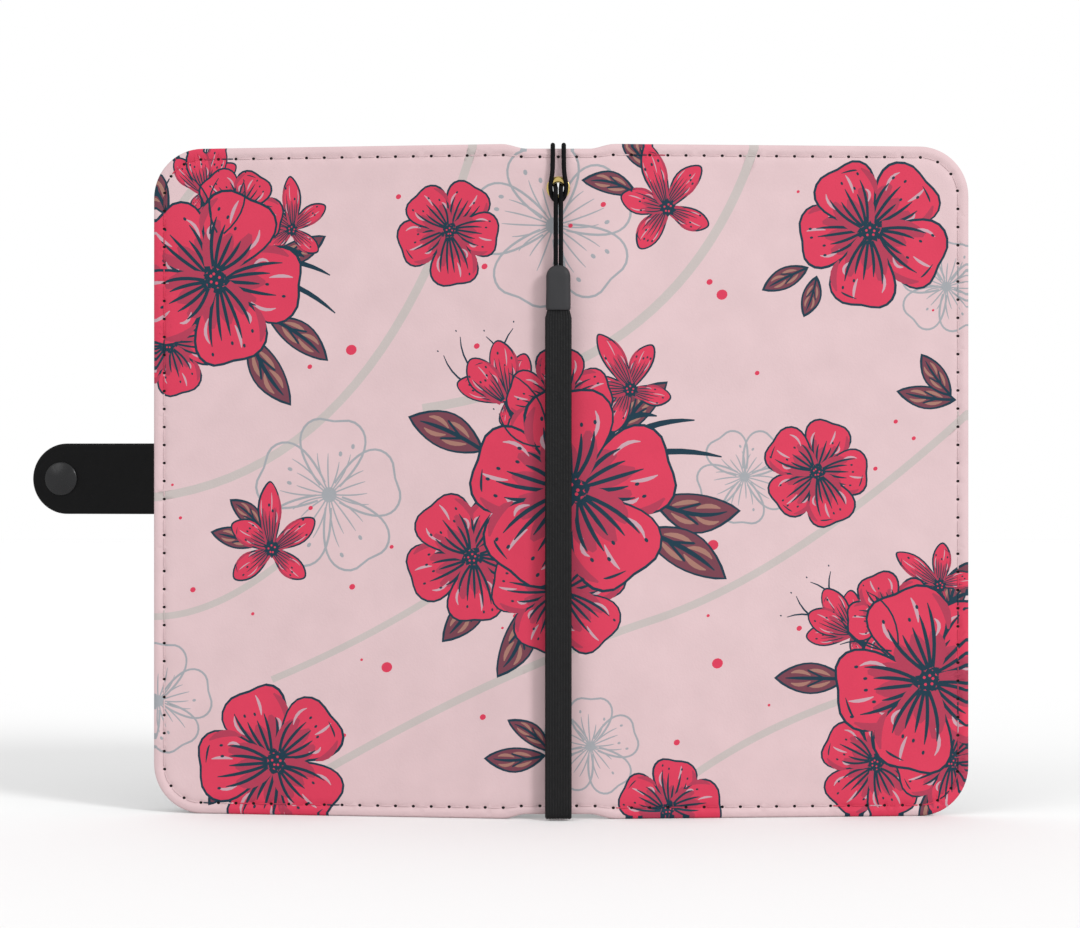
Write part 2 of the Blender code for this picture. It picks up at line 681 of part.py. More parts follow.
PRINTED_SKIN = material("printed leather", (0.72, 0.57, 0.58), 0.55)
BOARD = material("grey board", (0.35, 0.33, 0.30), 0.9)
LINING = material("black lining", (0.02, 0.02, 0.022), 0.6)
POCKET_LEATHER = material("black pocket leather", (0.018, 0.018, 0.02), 0.5)
TAB_LEATHER = material("black tab leather", (0.012, 0.012, 0.013), 0.55)
CAP_METAL = material("black cap", (0.03, 0.03, 0.032), 0.35)
STEEL = material("plated steel", (0.6, 0.6, 0.62), 0.35, 1.0)
BRASS = material("brass", (0.78, 0.56, 0.24), 0.3, 1.0)
DARK_PLASTIC = material("slide plastic", (0.03, 0.03, 0.033), 0.45)
TRAY_PLASTIC = material("tray plastic", (0.02, 0.02, 0.022), 0.4)
CORD_BLACK = material("black cord", (0.01, 0.01, 0.011), 0.7)
CRIMP_METAL = material("dark crimp", (0.05, 0.05, 0.052), 0.45)
WEBBING = material("black webbing", (0.01, 0.01, 0.011), 0.8)

ROOT = pivot("case_root", (SHIFT_X, SHIFT_Y, 0.0))
BACK = pivot("back_cover_hinge", (-HINGE_X, HINGE_Y, 0.0), -BACK_OPEN, ROOT)
FRONT = pivot("front_cover_hinge", (HINGE_X, HINGE_Y, 0.0), FRONT_OPEN, ROOT)
BRIDGE = pivot("tab_root_fold", (-ROOT_FOLD, 0.0, 0.0), 0.0, BACK)
FLAP = pivot("tab_end_fold", (-FOLD_SPAN, 0.0, 0.0), 0.0, BRIDGE)
TRAY = pivot("tray_slide", (0.0, 0.0, 0.0), 0.0, BACK)
STRAP = pivot("strap_swing", (0.0, STRAP_Y, EYELET_Z), 0.0, ROOT)
WEB = pivot("webbing_flex", (0.0, 0.0, WEB_PIVOT_Z - EYELET_Z), 0.0, STRAP)

make_spine()
make_hinge_leather("back_hinge_leather", -1, BACK_OPEN)
make_hinge_leather("front_hinge_leather", 1, FRONT_OPEN)
make_eyelet()
back_board = make_cover("back", -1, BACK)
front_board = make_cover("front", 1, FRONT)
make_tab(back_board)
make_keeper(front_board)
make_slide_plate()
make_tray()
make_pockets()
make_strap()
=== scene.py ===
# %% [markdown]
# # Dressing a folio phone case
# The working model already holds every solid of the case, its hinges and its slide, in metres.
# This lesson puts the looks on it: printed leather, lining, stitching, cord, webbing and fittings.
# It starts by loading that model, so that every new piece can be placed from real solids.

# %% Load the working model
import json
import random
from math import ceil, cos, exp, hypot, pi, radians, sin, tau

import bmesh
import bpy
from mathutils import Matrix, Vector, noise
from mathutils.geometry import delaunay_2d_cdt
from mathutils.kdtree import KDTree


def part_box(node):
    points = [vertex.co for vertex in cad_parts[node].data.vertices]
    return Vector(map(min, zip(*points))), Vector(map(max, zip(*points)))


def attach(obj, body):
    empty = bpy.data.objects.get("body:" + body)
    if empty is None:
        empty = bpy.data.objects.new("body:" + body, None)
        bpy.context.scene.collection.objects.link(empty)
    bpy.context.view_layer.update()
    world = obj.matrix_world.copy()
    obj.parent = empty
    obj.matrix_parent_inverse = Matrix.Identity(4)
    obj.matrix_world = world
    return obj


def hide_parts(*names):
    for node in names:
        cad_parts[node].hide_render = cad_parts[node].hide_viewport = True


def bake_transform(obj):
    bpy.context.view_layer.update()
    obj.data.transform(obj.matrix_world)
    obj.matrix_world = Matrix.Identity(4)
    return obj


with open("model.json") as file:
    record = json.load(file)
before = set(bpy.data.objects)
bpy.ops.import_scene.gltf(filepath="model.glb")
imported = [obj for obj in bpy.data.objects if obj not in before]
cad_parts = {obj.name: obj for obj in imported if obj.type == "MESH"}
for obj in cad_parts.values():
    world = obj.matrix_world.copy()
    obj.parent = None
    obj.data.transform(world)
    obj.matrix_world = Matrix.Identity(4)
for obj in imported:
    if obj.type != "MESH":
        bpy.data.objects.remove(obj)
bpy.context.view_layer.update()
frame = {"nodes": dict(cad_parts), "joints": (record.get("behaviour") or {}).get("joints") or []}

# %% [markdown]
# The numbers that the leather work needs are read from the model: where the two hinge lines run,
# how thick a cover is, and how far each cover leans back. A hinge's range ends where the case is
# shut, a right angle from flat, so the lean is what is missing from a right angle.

MM = 0.001
BACK = -1
FRONT = 1
joints = {joint["name"]: joint for joint in frame["joints"]}


def eased(t):
    """Goes smoothly from 0 to 1 as t does, and stays there beyond."""
    t = min(1.0, max(0.0, t))
    return t * t * (3 - 2 * t)


back_line = Vector(joints["back_cover_hinge"]["pos_m"])
front_line = Vector(joints["front_cover_hinge"]["pos_m"])
CENTRE_X = (back_line.x + front_line.x) / 2
OUTER_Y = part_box("spine_skin")[0].y
CASE_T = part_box("spine_lining")[1].y - OUTER_Y
HINGE_S = (front_line.x - back_line.x) / 2
HINGE_DEEP = front_line.y - OUTER_Y
LEAN = {
    BACK: radians(90 - joints["back_cover_hinge"]["range_deg"][1]),
    FRONT: radians(90 - joints["front_cover_hinge"]["range_deg"][1]),
}
CASE_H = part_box("front_skin")[1].z
SPINE_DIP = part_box("spine_skin")[0].z
far_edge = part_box("front_skin")[1].x - front_line.x - HINGE_DEEP * sin(LEAN[FRONT])
COVER_W = far_edge / cos(LEAN[FRONT])
HALF_W = HINGE_S + COVER_W
print("cover", round(COVER_W / MM, 2), "high", round(CASE_H / MM, 2), "thick", round(CASE_T / MM, 2))

# %% [markdown]
# The viewer stands level in front of the spine, about seven tenths of a metre away, with a long lens.
# The camera looks straight along +Y, so upright edges stay upright.

# %% The camera
VIEW_AWAY = 0.700
VIEW_SIDE = 0.004
VIEW_HEIGHT = 0.0778
lens = bpy.data.cameras.new("front_view")
lens.lens = 106.6
lens.sensor_width = 36.0
camera = bpy.data.objects.new("front_view", lens)
camera.location = (CENTRE_X - VIEW_SIDE, OUTER_Y - VIEW_AWAY, VIEW_HEIGHT)
camera.rotation_euler = (radians(90), 0.0, 0.0)
scene = bpy.context.scene
scene.collection.objects.link(camera)
scene.camera = camera
print("camera at", [round(value, 4) for value in camera.location])

# %% [markdown]
# A studio for a small object is a bright white room, one soft light from the right, and a weaker one from
# the left to open the shadows. Both are far away, so the floor is as white at the horizon as under the case.
# The floor is mixed just grey enough to come out white in full light, which leaves room for its shadows.
# The plain display transform keeps the printed colours true.

# %% Floor and light
scene.view_settings.view_transform = "Standard"


def plain_colour(code):
    """A colour written as on screen, such as "#E1C5C8", in the linear values that shaders use."""
    parts = [int(code[at:at + 2], 16) / 255 for at in (1, 3, 5)]
    linear = [part / 12.92 if part <= 0.04045 else ((part + 0.055) / 1.055) ** 2.4 for part in parts]
    return (*linear, 1.0)


room = bpy.data.worlds.new("bright_room")
room.use_nodes = True
room.node_tree.nodes["Background"].inputs["Color"].default_value = (1.0, 1.0, 1.0, 1.0)
room.node_tree.nodes["Background"].inputs["Strength"].default_value = 1.0
scene.world = room


def soft_sun(name, towards, strength, softness):
    """Light from far away, the same at every place. towards points from the case to the light."""
    data = bpy.data.lights.new(name, "SUN")
    data.angle = radians(softness)
    data.energy = strength
    lamp = bpy.data.objects.new(name, data)
    lamp.rotation_euler = Vector(towards).to_track_quat("Z", "Y").to_euler()
    scene.collection.objects.link(lamp)


soft_sun("key_light", (0.75, -0.80, 0.55), 1.75, 14)
soft_sun("fill_light", (-0.60, -0.70, 0.60), 0.38, 30)

FLOOR_HALF = 2.5
bm = bmesh.new()
bmesh.ops.create_grid(bm, x_segments=1, y_segments=1, size=FLOOR_HALF)
floor_mesh = bpy.data.meshes.new("studio_floor")
bm.to_mesh(floor_mesh)
bm.free()
floor_object = bpy.data.objects.new("studio_floor", floor_mesh)
scene.collection.objects.link(floor_object)
floor_white = bpy.data.materials.new("studio_white")
floor_white.use_nodes = True
floor_shader = floor_white.node_tree.nodes["Principled BSDF"]
floor_shader.inputs["Base Color"].default_value = (0.765, 0.765, 0.765, 1.0)
floor_shader.inputs["Roughness"].default_value = 0.9
floor_shader.inputs["Specular IOR Level"].default_value = 0.1
floor_mesh.materials.append(floor_white)
print("lights", [light.name for light in bpy.data.lights])

# %% [markdown]
# Most of the case is leather, woven cord or moulded plastic, and all of them are one recipe with
# other numbers: cells for the grain, a finer noise for the pores, and a slow noise for the mottling of
# colour and gloss. The grain is laid out in millimetres on the piece's own flat map, not in space,
# so it bends with the piece when the case is folded.

# %% A recipe for grained surfaces
LIGHT_GAIN = 1.42  # how much brighter than its own colour a pale surface shows in this light


def fresh_material(name):
    """A new material with its nodes, links and shader at hand."""
    made = bpy.data.materials.new(name)
    made.use_nodes = True
    tree = made.node_tree
    return made, tree.nodes, tree.links, tree.nodes["Principled BSDF"]


def mottled(nodes, links, shader, code, swing, source):
    """Lets the shader's colour swing a little to both sides of its code, as the source rises."""
    colour = [part / LIGHT_GAIN for part in plain_colour(code)[:3]]
    mix = nodes.new("ShaderNodeMix")
    mix.data_type = "RGBA"
    for socket, gain in (("A", 1 - swing), ("B", 1 + swing)):
        mix.inputs[socket].default_value = (*[min(1.0, part * gain) for part in colour], 1.0)
    links.new(source, mix.inputs["Factor"])
    links.new(mix.outputs["Result"], shader.inputs["Base Color"])


def grained(
    name, code, flat_map, unit, rough=0.5, rough_swing=0.10, cell=0.55, cell_deep=0.035,
    pore=0.12, pore_deep=0.010, mottle=0.04, metal=0.0, level=0.5,
):
    """A grained finish. unit is how many millimetres one step of the flat map is, cell and pore are
    the grain's sizes in millimetres and the deep values its depths, and mottle is the colour's swing."""
    made, nodes, links, shader = fresh_material(name)
    layout = nodes.new("ShaderNodeUVMap")
    layout.uv_map = flat_map
    in_mm = nodes.new("ShaderNodeVectorMath")
    in_mm.operation = "SCALE"
    in_mm.inputs["Scale"].default_value = unit
    links.new(layout.outputs["UV"], in_mm.inputs[0])

    def noise_of(size, detail):
        node = nodes.new("ShaderNodeTexNoise")
        node.inputs["Scale"].default_value = 1 / size
        node.inputs["Detail"].default_value = detail
        links.new(in_mm.outputs["Vector"], node.inputs["Vector"])
        return node.outputs["Fac"]

    def ranged(source, low, high):
        node = nodes.new("ShaderNodeMapRange")
        node.inputs["From Min"].default_value = 0.3
        node.inputs["From Max"].default_value = 0.7
        node.inputs["To Min"].default_value = low
        node.inputs["To Max"].default_value = high
        links.new(source, node.inputs["Value"])
        return node.outputs["Result"]

    def bump_of(source, deep, under):
        node = nodes.new("ShaderNodeBump")
        node.inputs["Distance"].default_value = deep * MM
        links.new(source, node.inputs["Height"])
        if under is not None:
            links.new(under, node.inputs["Normal"])
        return node.outputs["Normal"]

    slow = noise_of(9.0, 3.0)
    fine = noise_of(pore, 2.0)
    cells = nodes.new("ShaderNodeTexVoronoi")
    cells.feature = "SMOOTH_F1"
    cells.inputs["Scale"].default_value = 1 / cell
    links.new(in_mm.outputs["Vector"], cells.inputs["Vector"])
    gloss = ranged(noise_of(1.4, 3.0), rough - rough_swing, rough + rough_swing)
    links.new(gloss, shader.inputs["Roughness"])
    grain = bump_of(cells.outputs["Distance"], cell_deep, None)
    links.new(bump_of(fine, pore_deep, grain), shader.inputs["Normal"])
    mottled(nodes, links, shader, code, mottle, ranged(slow, 0.0, 1.0))
    shader.inputs["Metallic"].default_value = metal
    shader.inputs["Specular IOR Level"].default_value = level
    return made


# %% [markdown]
# Cords, threads, webbing and the tab have one thing in common: a ring of points is carried along a
# line and the rings are joined. One small function does that for all of them, and lays a flat map
# in millimetres round and along the piece, for the grain.

# %% Joining rings into a skin
ROUND_MAP = "round_map"
ROUND_UNIT = 10.0


def loft(bm, rings, finish=0, capped=True):
    """Joins closed rings of points, each in the same order, into faces with a flat map of real size."""
    flat = bm.loops.layers.uv.get(ROUND_MAP) or bm.loops.layers.uv.new(ROUND_MAP)
    columns = [[bm.verts.new(point) for point in ring] for ring in rings]
    across = [0.0]
    widest = max(rings, key=lambda ring: sum((a - b).length for a, b in zip(ring, ring[1:])))
    for one, other in zip(widest, widest[1:] + widest[:1]):
        across.append(across[-1] + (other - one).length / MM / ROUND_UNIT)
    middles = [sum(ring, Vector()) / len(ring) for ring in rings]
    along = [0.0]
    for one, other in zip(middles, middles[1:]):
        along.append(along[-1] + (other - one).length / MM / ROUND_UNIT)
    count = len(rings[0])
    for row, (low, high) in enumerate(zip(columns, columns[1:])):
        for at in range(count):
            after = (at + 1) % count
            face = bm.faces.new((low[at], low[after], high[after], high[at]))
            face.material_index = finish
            face.smooth = True
            places = ((at, row), (at + 1, row), (at + 1, row + 1), (at, row + 1))
            for corner, (u, v) in zip(face.loops, places):
                corner[flat].uv = (across[u], along[v])
    if capped:
        for column, order in ((columns[0], -1), (columns[-1], 1)):
            cap = bm.faces.new(column[::order])
            cap.material_index = finish
            cap.smooth = True
    return columns


def piece_from(bm, name, materials):
    """Turns the built mesh into a piece of the case, with its finishes."""
    bmesh.ops.recalc_face_normals(bm, faces=bm.faces)
    mesh = bpy.data.meshes.new(name)
    bm.to_mesh(mesh)
    bm.free()
    made = bpy.data.objects.new(name, mesh)
    scene.collection.objects.link(made)
    for finish in materials:
        mesh.materials.append(finish)
    print(name, len(mesh.polygons), "faces")
    return made


def smooth_route(points, spacing):
    """A smooth curve through the points, read off at about the given spacing."""
    ends = [2 * points[0] - points[1], *points, 2 * points[-1] - points[-2]]
    route = [points[0]]
    for before, start, stop, after in zip(ends, ends[1:], ends[2:], ends[3:]):
        steps = max(1, round((stop - start).length / spacing))
        for step in range(1, steps + 1):
            t = step / steps
            pull = 2 * start + (stop - before) * t
            bend = (2 * before - 5 * start + 4 * stop - after) * t**2
            swing = (3 * start - before - 3 * stop + after) * t**3
            route.append((pull + bend + swing) / 2)
    return route


def tube_rings(route, radius, sides):
    """Rings of a round cord along a route, turned as little as possible from one to the next."""
    rings = []
    heading = (route[1] - route[0]).normalized()
    normal = heading.orthogonal().normalized()
    for at, place in enumerate(route):
        ahead = route[min(at + 1, len(route) - 1)] - route[max(at - 1, 0)]
        ahead.normalize()
        normal = (normal - ahead * normal.dot(ahead)).normalized()
        other = ahead.cross(normal)
        size = radius(at) if callable(radius) else radius
        turns = [tau * step / sides for step in range(sides)]
        rings.append([place + (normal * cos(turn) + other * sin(turn)) * size for turn in turns])
    return rings


# %% [markdown]
# The wrist strap hangs on a thin round cord. Both of its ends are held in a crimp. Its middle is hitched:
# it goes in through the eyelet, up the inside, over the spine's top edge, and its loop lies across
# its own strands below the eyelet. The route is a short list of points along one side, and the other
# side is its mirror. A cord is one continuous piece, so it is one tube, which turns just where it
# comes out of the eyelet.

# %% The hitched cord
GLUE = 0.15 * MM
eyelet_low, eyelet_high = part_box("eyelet")
EYELET_Z = (eyelet_low.z + eyelet_high.z) / 2
SPINE_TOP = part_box("spine_skin")[1].z
CORD_R = (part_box("strap_cord")[1].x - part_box("strap_cord")[0].x - 0.1 * MM) / 4
FLANGE_OUT = OUTER_Y - eyelet_low.y
HITCH_Y = -(FLANGE_OUT + GLUE + CORD_R)
STRAP_Y = Vector(joints["strap_swing"]["pos_m"]).y - OUTER_Y
CRIMP_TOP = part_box("strap_crimp")[1].z
STRAND_APART = CORD_R + 0.05 * MM  # from the middle line to each strand
CLEAR = CORD_R + GLUE
INSIDE_Y = eyelet_high.y - OUTER_Y + GLUE + CLEAR
OVER_EDGE = 1.2 * MM  # the strands' distance from the middle where they cross the top edge
LOOP_WIDE = 2 * CORD_R + 0.7 * MM  # and where the loop passes the eyelet's hole


def hitch_half():
    """One side of the cord, from the crimp up into the eyelet, over the top edge and down to the loop.
    Each step is a distance across, one inward and a height, each with a small shift in millimetres."""
    steps = [
        (STRAND_APART, 0.0, STRAP_Y, 0.0, CRIMP_TOP, -0.6),
        (STRAND_APART, 0.0, STRAP_Y, -0.1, EYELET_Z, -10.2),
        (STRAND_APART, 0.0, STRAP_Y, 0.0, EYELET_Z, -4.2),
        (STRAND_APART, 0.0, STRAP_Y, 0.05, EYELET_Z, -1.3),
        (STRAND_APART, 0.0, STRAP_Y, 0.7, EYELET_Z, -0.1),
        (STRAND_APART, 0.0, 0.0, 0.0, EYELET_Z, 0.0),
        (STRAND_APART, 0.0, INSIDE_Y - CLEAR, 0.0, EYELET_Z, 0.0),
        (STRAND_APART, 0.1, INSIDE_Y, 0.3, EYELET_Z, 0.9),
        (OVER_EDGE, -0.3, INSIDE_Y, 0.1, EYELET_Z, 2.8),
        (OVER_EDGE, -0.1, CASE_T + CLEAR + GLUE, 0.0, SPINE_TOP, -2.2),
    ]
    round_edge = CLEAR + GLUE / 2
    turns = [pi / 4 * step for step in range(3)]
    over = [(CASE_T + round_edge * cos(turn), SPINE_TOP + round_edge * sin(turn)) for turn in turns]
    over += [(-round_edge * sin(turn), SPINE_TOP + round_edge * cos(turn)) for turn in turns]
    steps += [(OVER_EDGE, 0.0, y, 0.0, z, 0.0) for y, z in over]
    steps += [
        (OVER_EDGE, 0.0, -CLEAR - GLUE, 0.0, SPINE_TOP, -2.2),
        (OVER_EDGE, 0.1, HITCH_Y, 0.0, EYELET_Z, 3.4),
        (LOOP_WIDE, 0.0, HITCH_Y, 0.0, EYELET_Z, 0.2),
        (OVER_EDGE, 0.0, HITCH_Y, 0.0, EYELET_Z, -2.1),
    ]
    return [Vector((x + dx * MM, y + dy * MM, z + dz * MM)) for x, dx, y, dy, z, dz in steps]


half_route = hitch_half()
loop_low = Vector((0.0, HITCH_Y, EYELET_Z - 2.9 * MM))
other_half = [Vector((-point.x, point.y, point.z)) for point in reversed(half_route)]
to_case = Vector((CENTRE_X, OUTER_Y, 0.0))
cord_points = [point + to_case for point in half_route + [loop_low] + other_half]
cord_route = smooth_route(cord_points, 0.5 * CORD_R)
black_cord = grained(
    "black_braided_cord", "#0C0C0E", ROUND_MAP, ROUND_UNIT, rough=0.62, cell=0.28, cell_deep=0.06,
    pore=0.07, pore_deep=0.03, mottle=0.15, level=0.08,
)
bm = bmesh.new()
loft(bm, tube_rings(cord_route, CORD_R, 14))
wrist_cord = piece_from(bm, "wrist_cord", [black_cord])
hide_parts("cord_hitch", "strap_cord")
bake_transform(wrist_cord)

# %% [markdown]
# The crimp is a small moulded sleeve with a domed top. Seen from the front it is flat with soft edges,
# so its section is a rounded oblong, and the dome comes from narrowing the rings at its top.
# Its lower mouth is a little wider, where the webbing goes in.

# %% The crimp
crimp_low, crimp_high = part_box("strap_crimp")


def oblong(half_x, half_y, squareness, count):
    """A closed ring between a rounded rectangle and an oval."""
    points = []
    for step in range(count):
        turn = tau * step / count
        power = 2 / squareness
        x = half_x * abs(cos(turn)) ** power * (1 if cos(turn) >= 0 else -1)
        y = half_y * abs(sin(turn)) ** power * (1 if sin(turn) >= 0 else -1)
        points.append((x, y))
    return points


def make_crimp():
    half_x = (crimp_high.x - crimp_low.x) / 2
    half_y = (crimp_high.y - crimp_low.y) / 2
    height = crimp_high.z - crimp_low.z
    middle = Vector((CENTRE_X, (crimp_low.y + crimp_high.y) / 2, 0.0))
    dome = half_x * 0.95
    levels = [(0.0, 0.93, 0.90), (0.2 * MM, 0.985, 0.975), (0.6 * MM, 1.0, 1.0), (2.2 * MM, 1.0, 1.0)]
    levels += [(4.0 * MM, 0.99, 0.99), (height - dome, 0.985, 0.985)]
    for step in range(1, 10):
        turn = pi / 2 * step / 9.6
        levels.append(
            (height - dome + dome * sin(turn), 0.985 * cos(turn) ** 0.85, 0.985 * cos(turn) ** 0.5)
        )
    rings = []
    for rise, wide, deep in levels:
        ring = oblong(half_x * wide, half_y * deep, 4.0, 36)
        rings.append([middle + Vector((x, y, crimp_low.z + rise)) for x, y in ring])
    bm = bmesh.new()
    loft(bm, rings)
    made = piece_from(bm, "cord_crimp", [crimp_finish])
    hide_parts("strap_crimp")
    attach(made, "wrist_strap")
    return made


crimp_finish = grained(
    "dark_crimp", "#3C3C3E", ROUND_MAP, ROUND_UNIT, rough=0.48, rough_swing=0.06, cell=0.16,
    cell_deep=0.006, pore=0.05, pore_deep=0.004, mottle=0.05, level=0.12,
)
cord_crimp = make_crimp()

# %% [markdown]
# The wrist loop is a narrow elastic webbing, folded over at the bottom, with ribs along its length.
# The ribs are real ridges in the section of the band, carried round the closed loop. The weave
# across the ribs is finer than that, so it is left to the material.

# %% The webbing loop
web_low, web_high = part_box("strap_webbing")
RIBS = 9


def webbing_section(width, thick):
    """The band's section: ridges on both faces and round edges. First number across, second outward."""
    points = []
    for face in (1, -1):
        for step in range(RIBS * 4 + 1):
            across = (step / (RIBS * 4) * 2 - 1) * 0.93
            ridge = 0.66 + 0.34 * abs(sin(pi * step / 4)) ** 0.7
            points.append((face * across * width / 2, face * thick / 2 * ridge))
        points.append((face * width / 2 * 0.985, face * thick / 2 * 0.5))
        points.append((face * width / 2, 0.0))
    return points


def make_webbing():
    """The band from inside the crimp down, round its fold, and up behind itself into the crimp."""
    width = web_high.x - web_low.x
    deep = (web_high.y - web_low.y) / 2
    thick = 0.92 * MM
    bend = deep - thick / 2
    top = crimp_low.z + 1.5 * MM
    bottom = web_low.z + deep
    middle = Vector((CENTRE_X, (web_low.y + web_high.y) / 2, 0.0))
    rows = 70
    facing_out = Vector((0.0, -1.0, 0.0))
    heights = [top + (bottom - top) * row / rows for row in range(rows)]
    down = [(Vector((0.0, -bend, z)), facing_out) for z in heights]
    fold = []
    for step in range(13):
        turn = pi * step / 12
        out = Vector((0.0, -cos(turn), -sin(turn)))
        fold.append((Vector((0.0, 0.0, bottom)) + out * bend, out))
    up = [(Vector((0.0, bend, level.z)), -facing_out) for level, _ in reversed(down)]
    section = webbing_section(width, thick)
    rings = []
    for level, out in down + fold + up:
        side = Vector((0.86 + 0.14 * eased((crimp_low.z - 0.1 * MM - level.z) / (1.6 * MM)), 0.0, 0.0))
        rings.append([middle + level + side * x + out * y for x, y in section])
    bm = bmesh.new()
    loft(bm, rings)
    made = piece_from(bm, "wrist_webbing", [web_finish])
    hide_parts("strap_webbing")
    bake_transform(made)


web_finish = grained(
    "black_ribbed_webbing", "#0F0F11", ROUND_MAP, ROUND_UNIT, rough=0.55, cell=0.34, cell_deep=0.06,
    pore=0.10, pore_deep=0.03, mottle=0.18, level=0.20,
)
make_webbing()

# %% [markdown]
# The outside of the case is one sheet of leather that runs from cover to cover round the spine.
# It is drawn flat first, in millimetres: across from the middle of the spine, and up from the table.
# One function then turns a flat place and a depth into a place on the standing case. The sheet turns
# smoothly over the soft strip beside each hinge line.

# %% From the flat sheet to the standing case
HINGE_MM = HINGE_S / MM
HINGE_DEEP_MM = HINGE_DEEP / MM
CASE_T_MM = CASE_T / MM
HALF_MM = HALF_W / MM
HIGH_MM = CASE_H / MM
DIP_MM = SPINE_DIP / MM
SEAM_STRAIGHTER = 0.55
SEAM_BAND = 12.0
FLEX_MM = 2.8
CORNER_MM = 11.0


def place(x, z, deep):
    """Where a flat place comes to lie. deep is counted in millimetres inward from the outer face."""
    side = BACK if x < 0 else FRONT
    past = abs(x) - HINGE_MM
    turn = eased((past + FLEX_MM) / (2 * FLEX_MM)) * LEAN[side]
    inward = deep - HINGE_DEEP_MM
    out = past * cos(turn) - inward * sin(turn)
    back = past * sin(turn) + inward * cos(turn)
    return Vector((CENTRE_X + side * (HINGE_MM + out) * MM, OUTER_Y + HINGE_DEEP + back * MM, z * MM))


DIP_FROM = 6.9
DIP_TO = 12.4


def dip(x):
    """How much shorter the case is at each end here: the spine is cut lower than the covers."""
    return DIP_MM * (1 - eased((abs(x) - DIP_FROM) / (DIP_TO - DIP_FROM)))


def from_edge(x, z):
    """Distance in from the open edge of the case. The middle of the spine isn't an edge."""
    right = HALF_MM - abs(x)
    end = HIGH_MM / 2 - dip(x) - abs(z - HIGH_MM / 2)
    if right < CORNER_MM and end < CORNER_MM:
        return CORNER_MM - hypot(CORNER_MM - right, CORNER_MM - end)
    return min(right, end)


def from_edge_of_seam(x, z):
    """The same distance for the seam, which runs straighter past the spine than the edge does."""
    end = HIGH_MM / 2 - abs(z - HIGH_MM / 2)
    return from_edge(x, z) + (SEAM_STRAIGHTER * dip(x) if end < SEAM_BAND else 0.0)


def edge_line(side, inset, step, straighter=0.0):
    """Points along one half's open edge, from the spine's foot round to its top, moved in by inset."""
    corner = CORNER_MM - inset
    flat_end = HALF_MM - CORNER_MM
    count = ceil(flat_end / step)
    lower = []
    for at in range(count):
        x = flat_end * at / count
        lower.append((x, dip(x) * (1 - straighter) + inset))
    turns = max(8, ceil(corner * pi / 2 / step))
    for at in range(turns + 1):
        turn = pi / 2 * at / turns
        lower.append((flat_end + corner * sin(turn), CORNER_MM - corner * cos(turn)))
    rows = ceil((HIGH_MM - 2 * CORNER_MM) / step / 2)
    for at in range(1, rows + 1):
        lower.append((HALF_MM - inset, CORNER_MM + (HIGH_MM / 2 - CORNER_MM) * at / rows))
    upper = [(x, HIGH_MM - z) for x, z in reversed(lower[:-1])]
    return [(side * x, z) for x, z in lower + upper]


def line_length(line):
    """The length of a line of points."""
    return sum(hypot(b[0] - a[0], b[1] - a[1]) for a, b in zip(line, line[1:]))


print("edge of one half", round(line_length(edge_line(1, 0, 1.0)), 1), "mm")

# %% [markdown]
# The print is a spring pattern: five-petalled blossoms, buds and leaves in ink, paler line blossoms
# behind them, and wide soft ribbons across. It could be a painted image, but then it would blur up close.
# Here every mark is a shape on the flat sheet, with its own ink, and later shapes cover earlier ones.
# A brush mark is the simplest of them: a line that swells and thins along its way.

# %% Inks and brush marks
marks = []  # (ink, outline) pairs, from the bottom of the print to its top


def mark(ink, outline):
    """Adds a closed outline to the print, turned so that its inside is on its left."""
    twice = sum(a[0] * b[1] - b[0] * a[1] for a, b in zip(outline, outline[1:] + outline[:1]))
    if abs(twice) > 0.02:
        marks.append((ink, outline if twice > 0 else outline[::-1]))


def curve(start, pull, stop, count):
    """Points along a simple bow from start to stop, drawn towards pull."""
    axes = list(zip(start, pull, stop))
    points = []
    for step in range(count + 1):
        t = step / count
        weights = ((1 - t) ** 2, 2 * t * (1 - t), t * t)
        points.append(tuple(sum(w * value for w, value in zip(weights, axis)) for axis in axes))
    return points


def brush(ink, line, wide, thin_start=0.0, thin_stop=0.0):
    """A brush mark of the given width along a line. The thin values say how wide its ends stay."""
    left = []
    right = []
    last = len(line) - 1
    for at, point in enumerate(line):
        ahead = line[min(at + 1, last)]
        behind = line[max(at - 1, 0)]
        run = hypot(ahead[0] - behind[0], ahead[1] - behind[1]) or 1.0
        across = (-(ahead[1] - behind[1]) / run, (ahead[0] - behind[0]) / run)
        t = at / last
        swell = sin(pi * min(1.0, max(0.0, 0.04 + 0.92 * t))) ** 0.7
        floor_width = thin_start * (1 - t) + thin_stop * t
        half = wide / 2 * (floor_width + (1 - floor_width) * swell)
        left.append((point[0] + across[0] * half, point[1] + across[1] * half))
        right.append((point[0] - across[0] * half, point[1] - across[1] * half))
    mark(ink, right + left[::-1])


def spot(ink, x, z, radius, sides=9, squeeze=1.0, turn=0.0):
    """A dot, or a short oval one where it is squeezed."""
    outline = []
    for step in range(sides):
        angle = tau * step / sides
        u = radius * cos(angle)
        v = radius * squeeze * sin(angle)
        outline.append((x + u * cos(turn) - v * sin(turn), z + u * sin(turn) + v * cos(turn)))
    mark(ink, outline)


# %% [markdown]
# A petal is an egg with its narrow end at the flower's middle, and a small notch at its tip.
# It is laid down three times: the dark outline a little larger, the red inside it, and then deeper red,
# pale strokes and dark veins that fan out from the root. A few seeded draws keep petals from being copies.

# %% Petals
def on_petal(root, aim, out, side):
    """A place on a petal, from its root: out along it, and side to the left."""
    return (root[0] + out * cos(aim) - side * sin(aim), root[1] + out * sin(aim) + side * cos(aim))


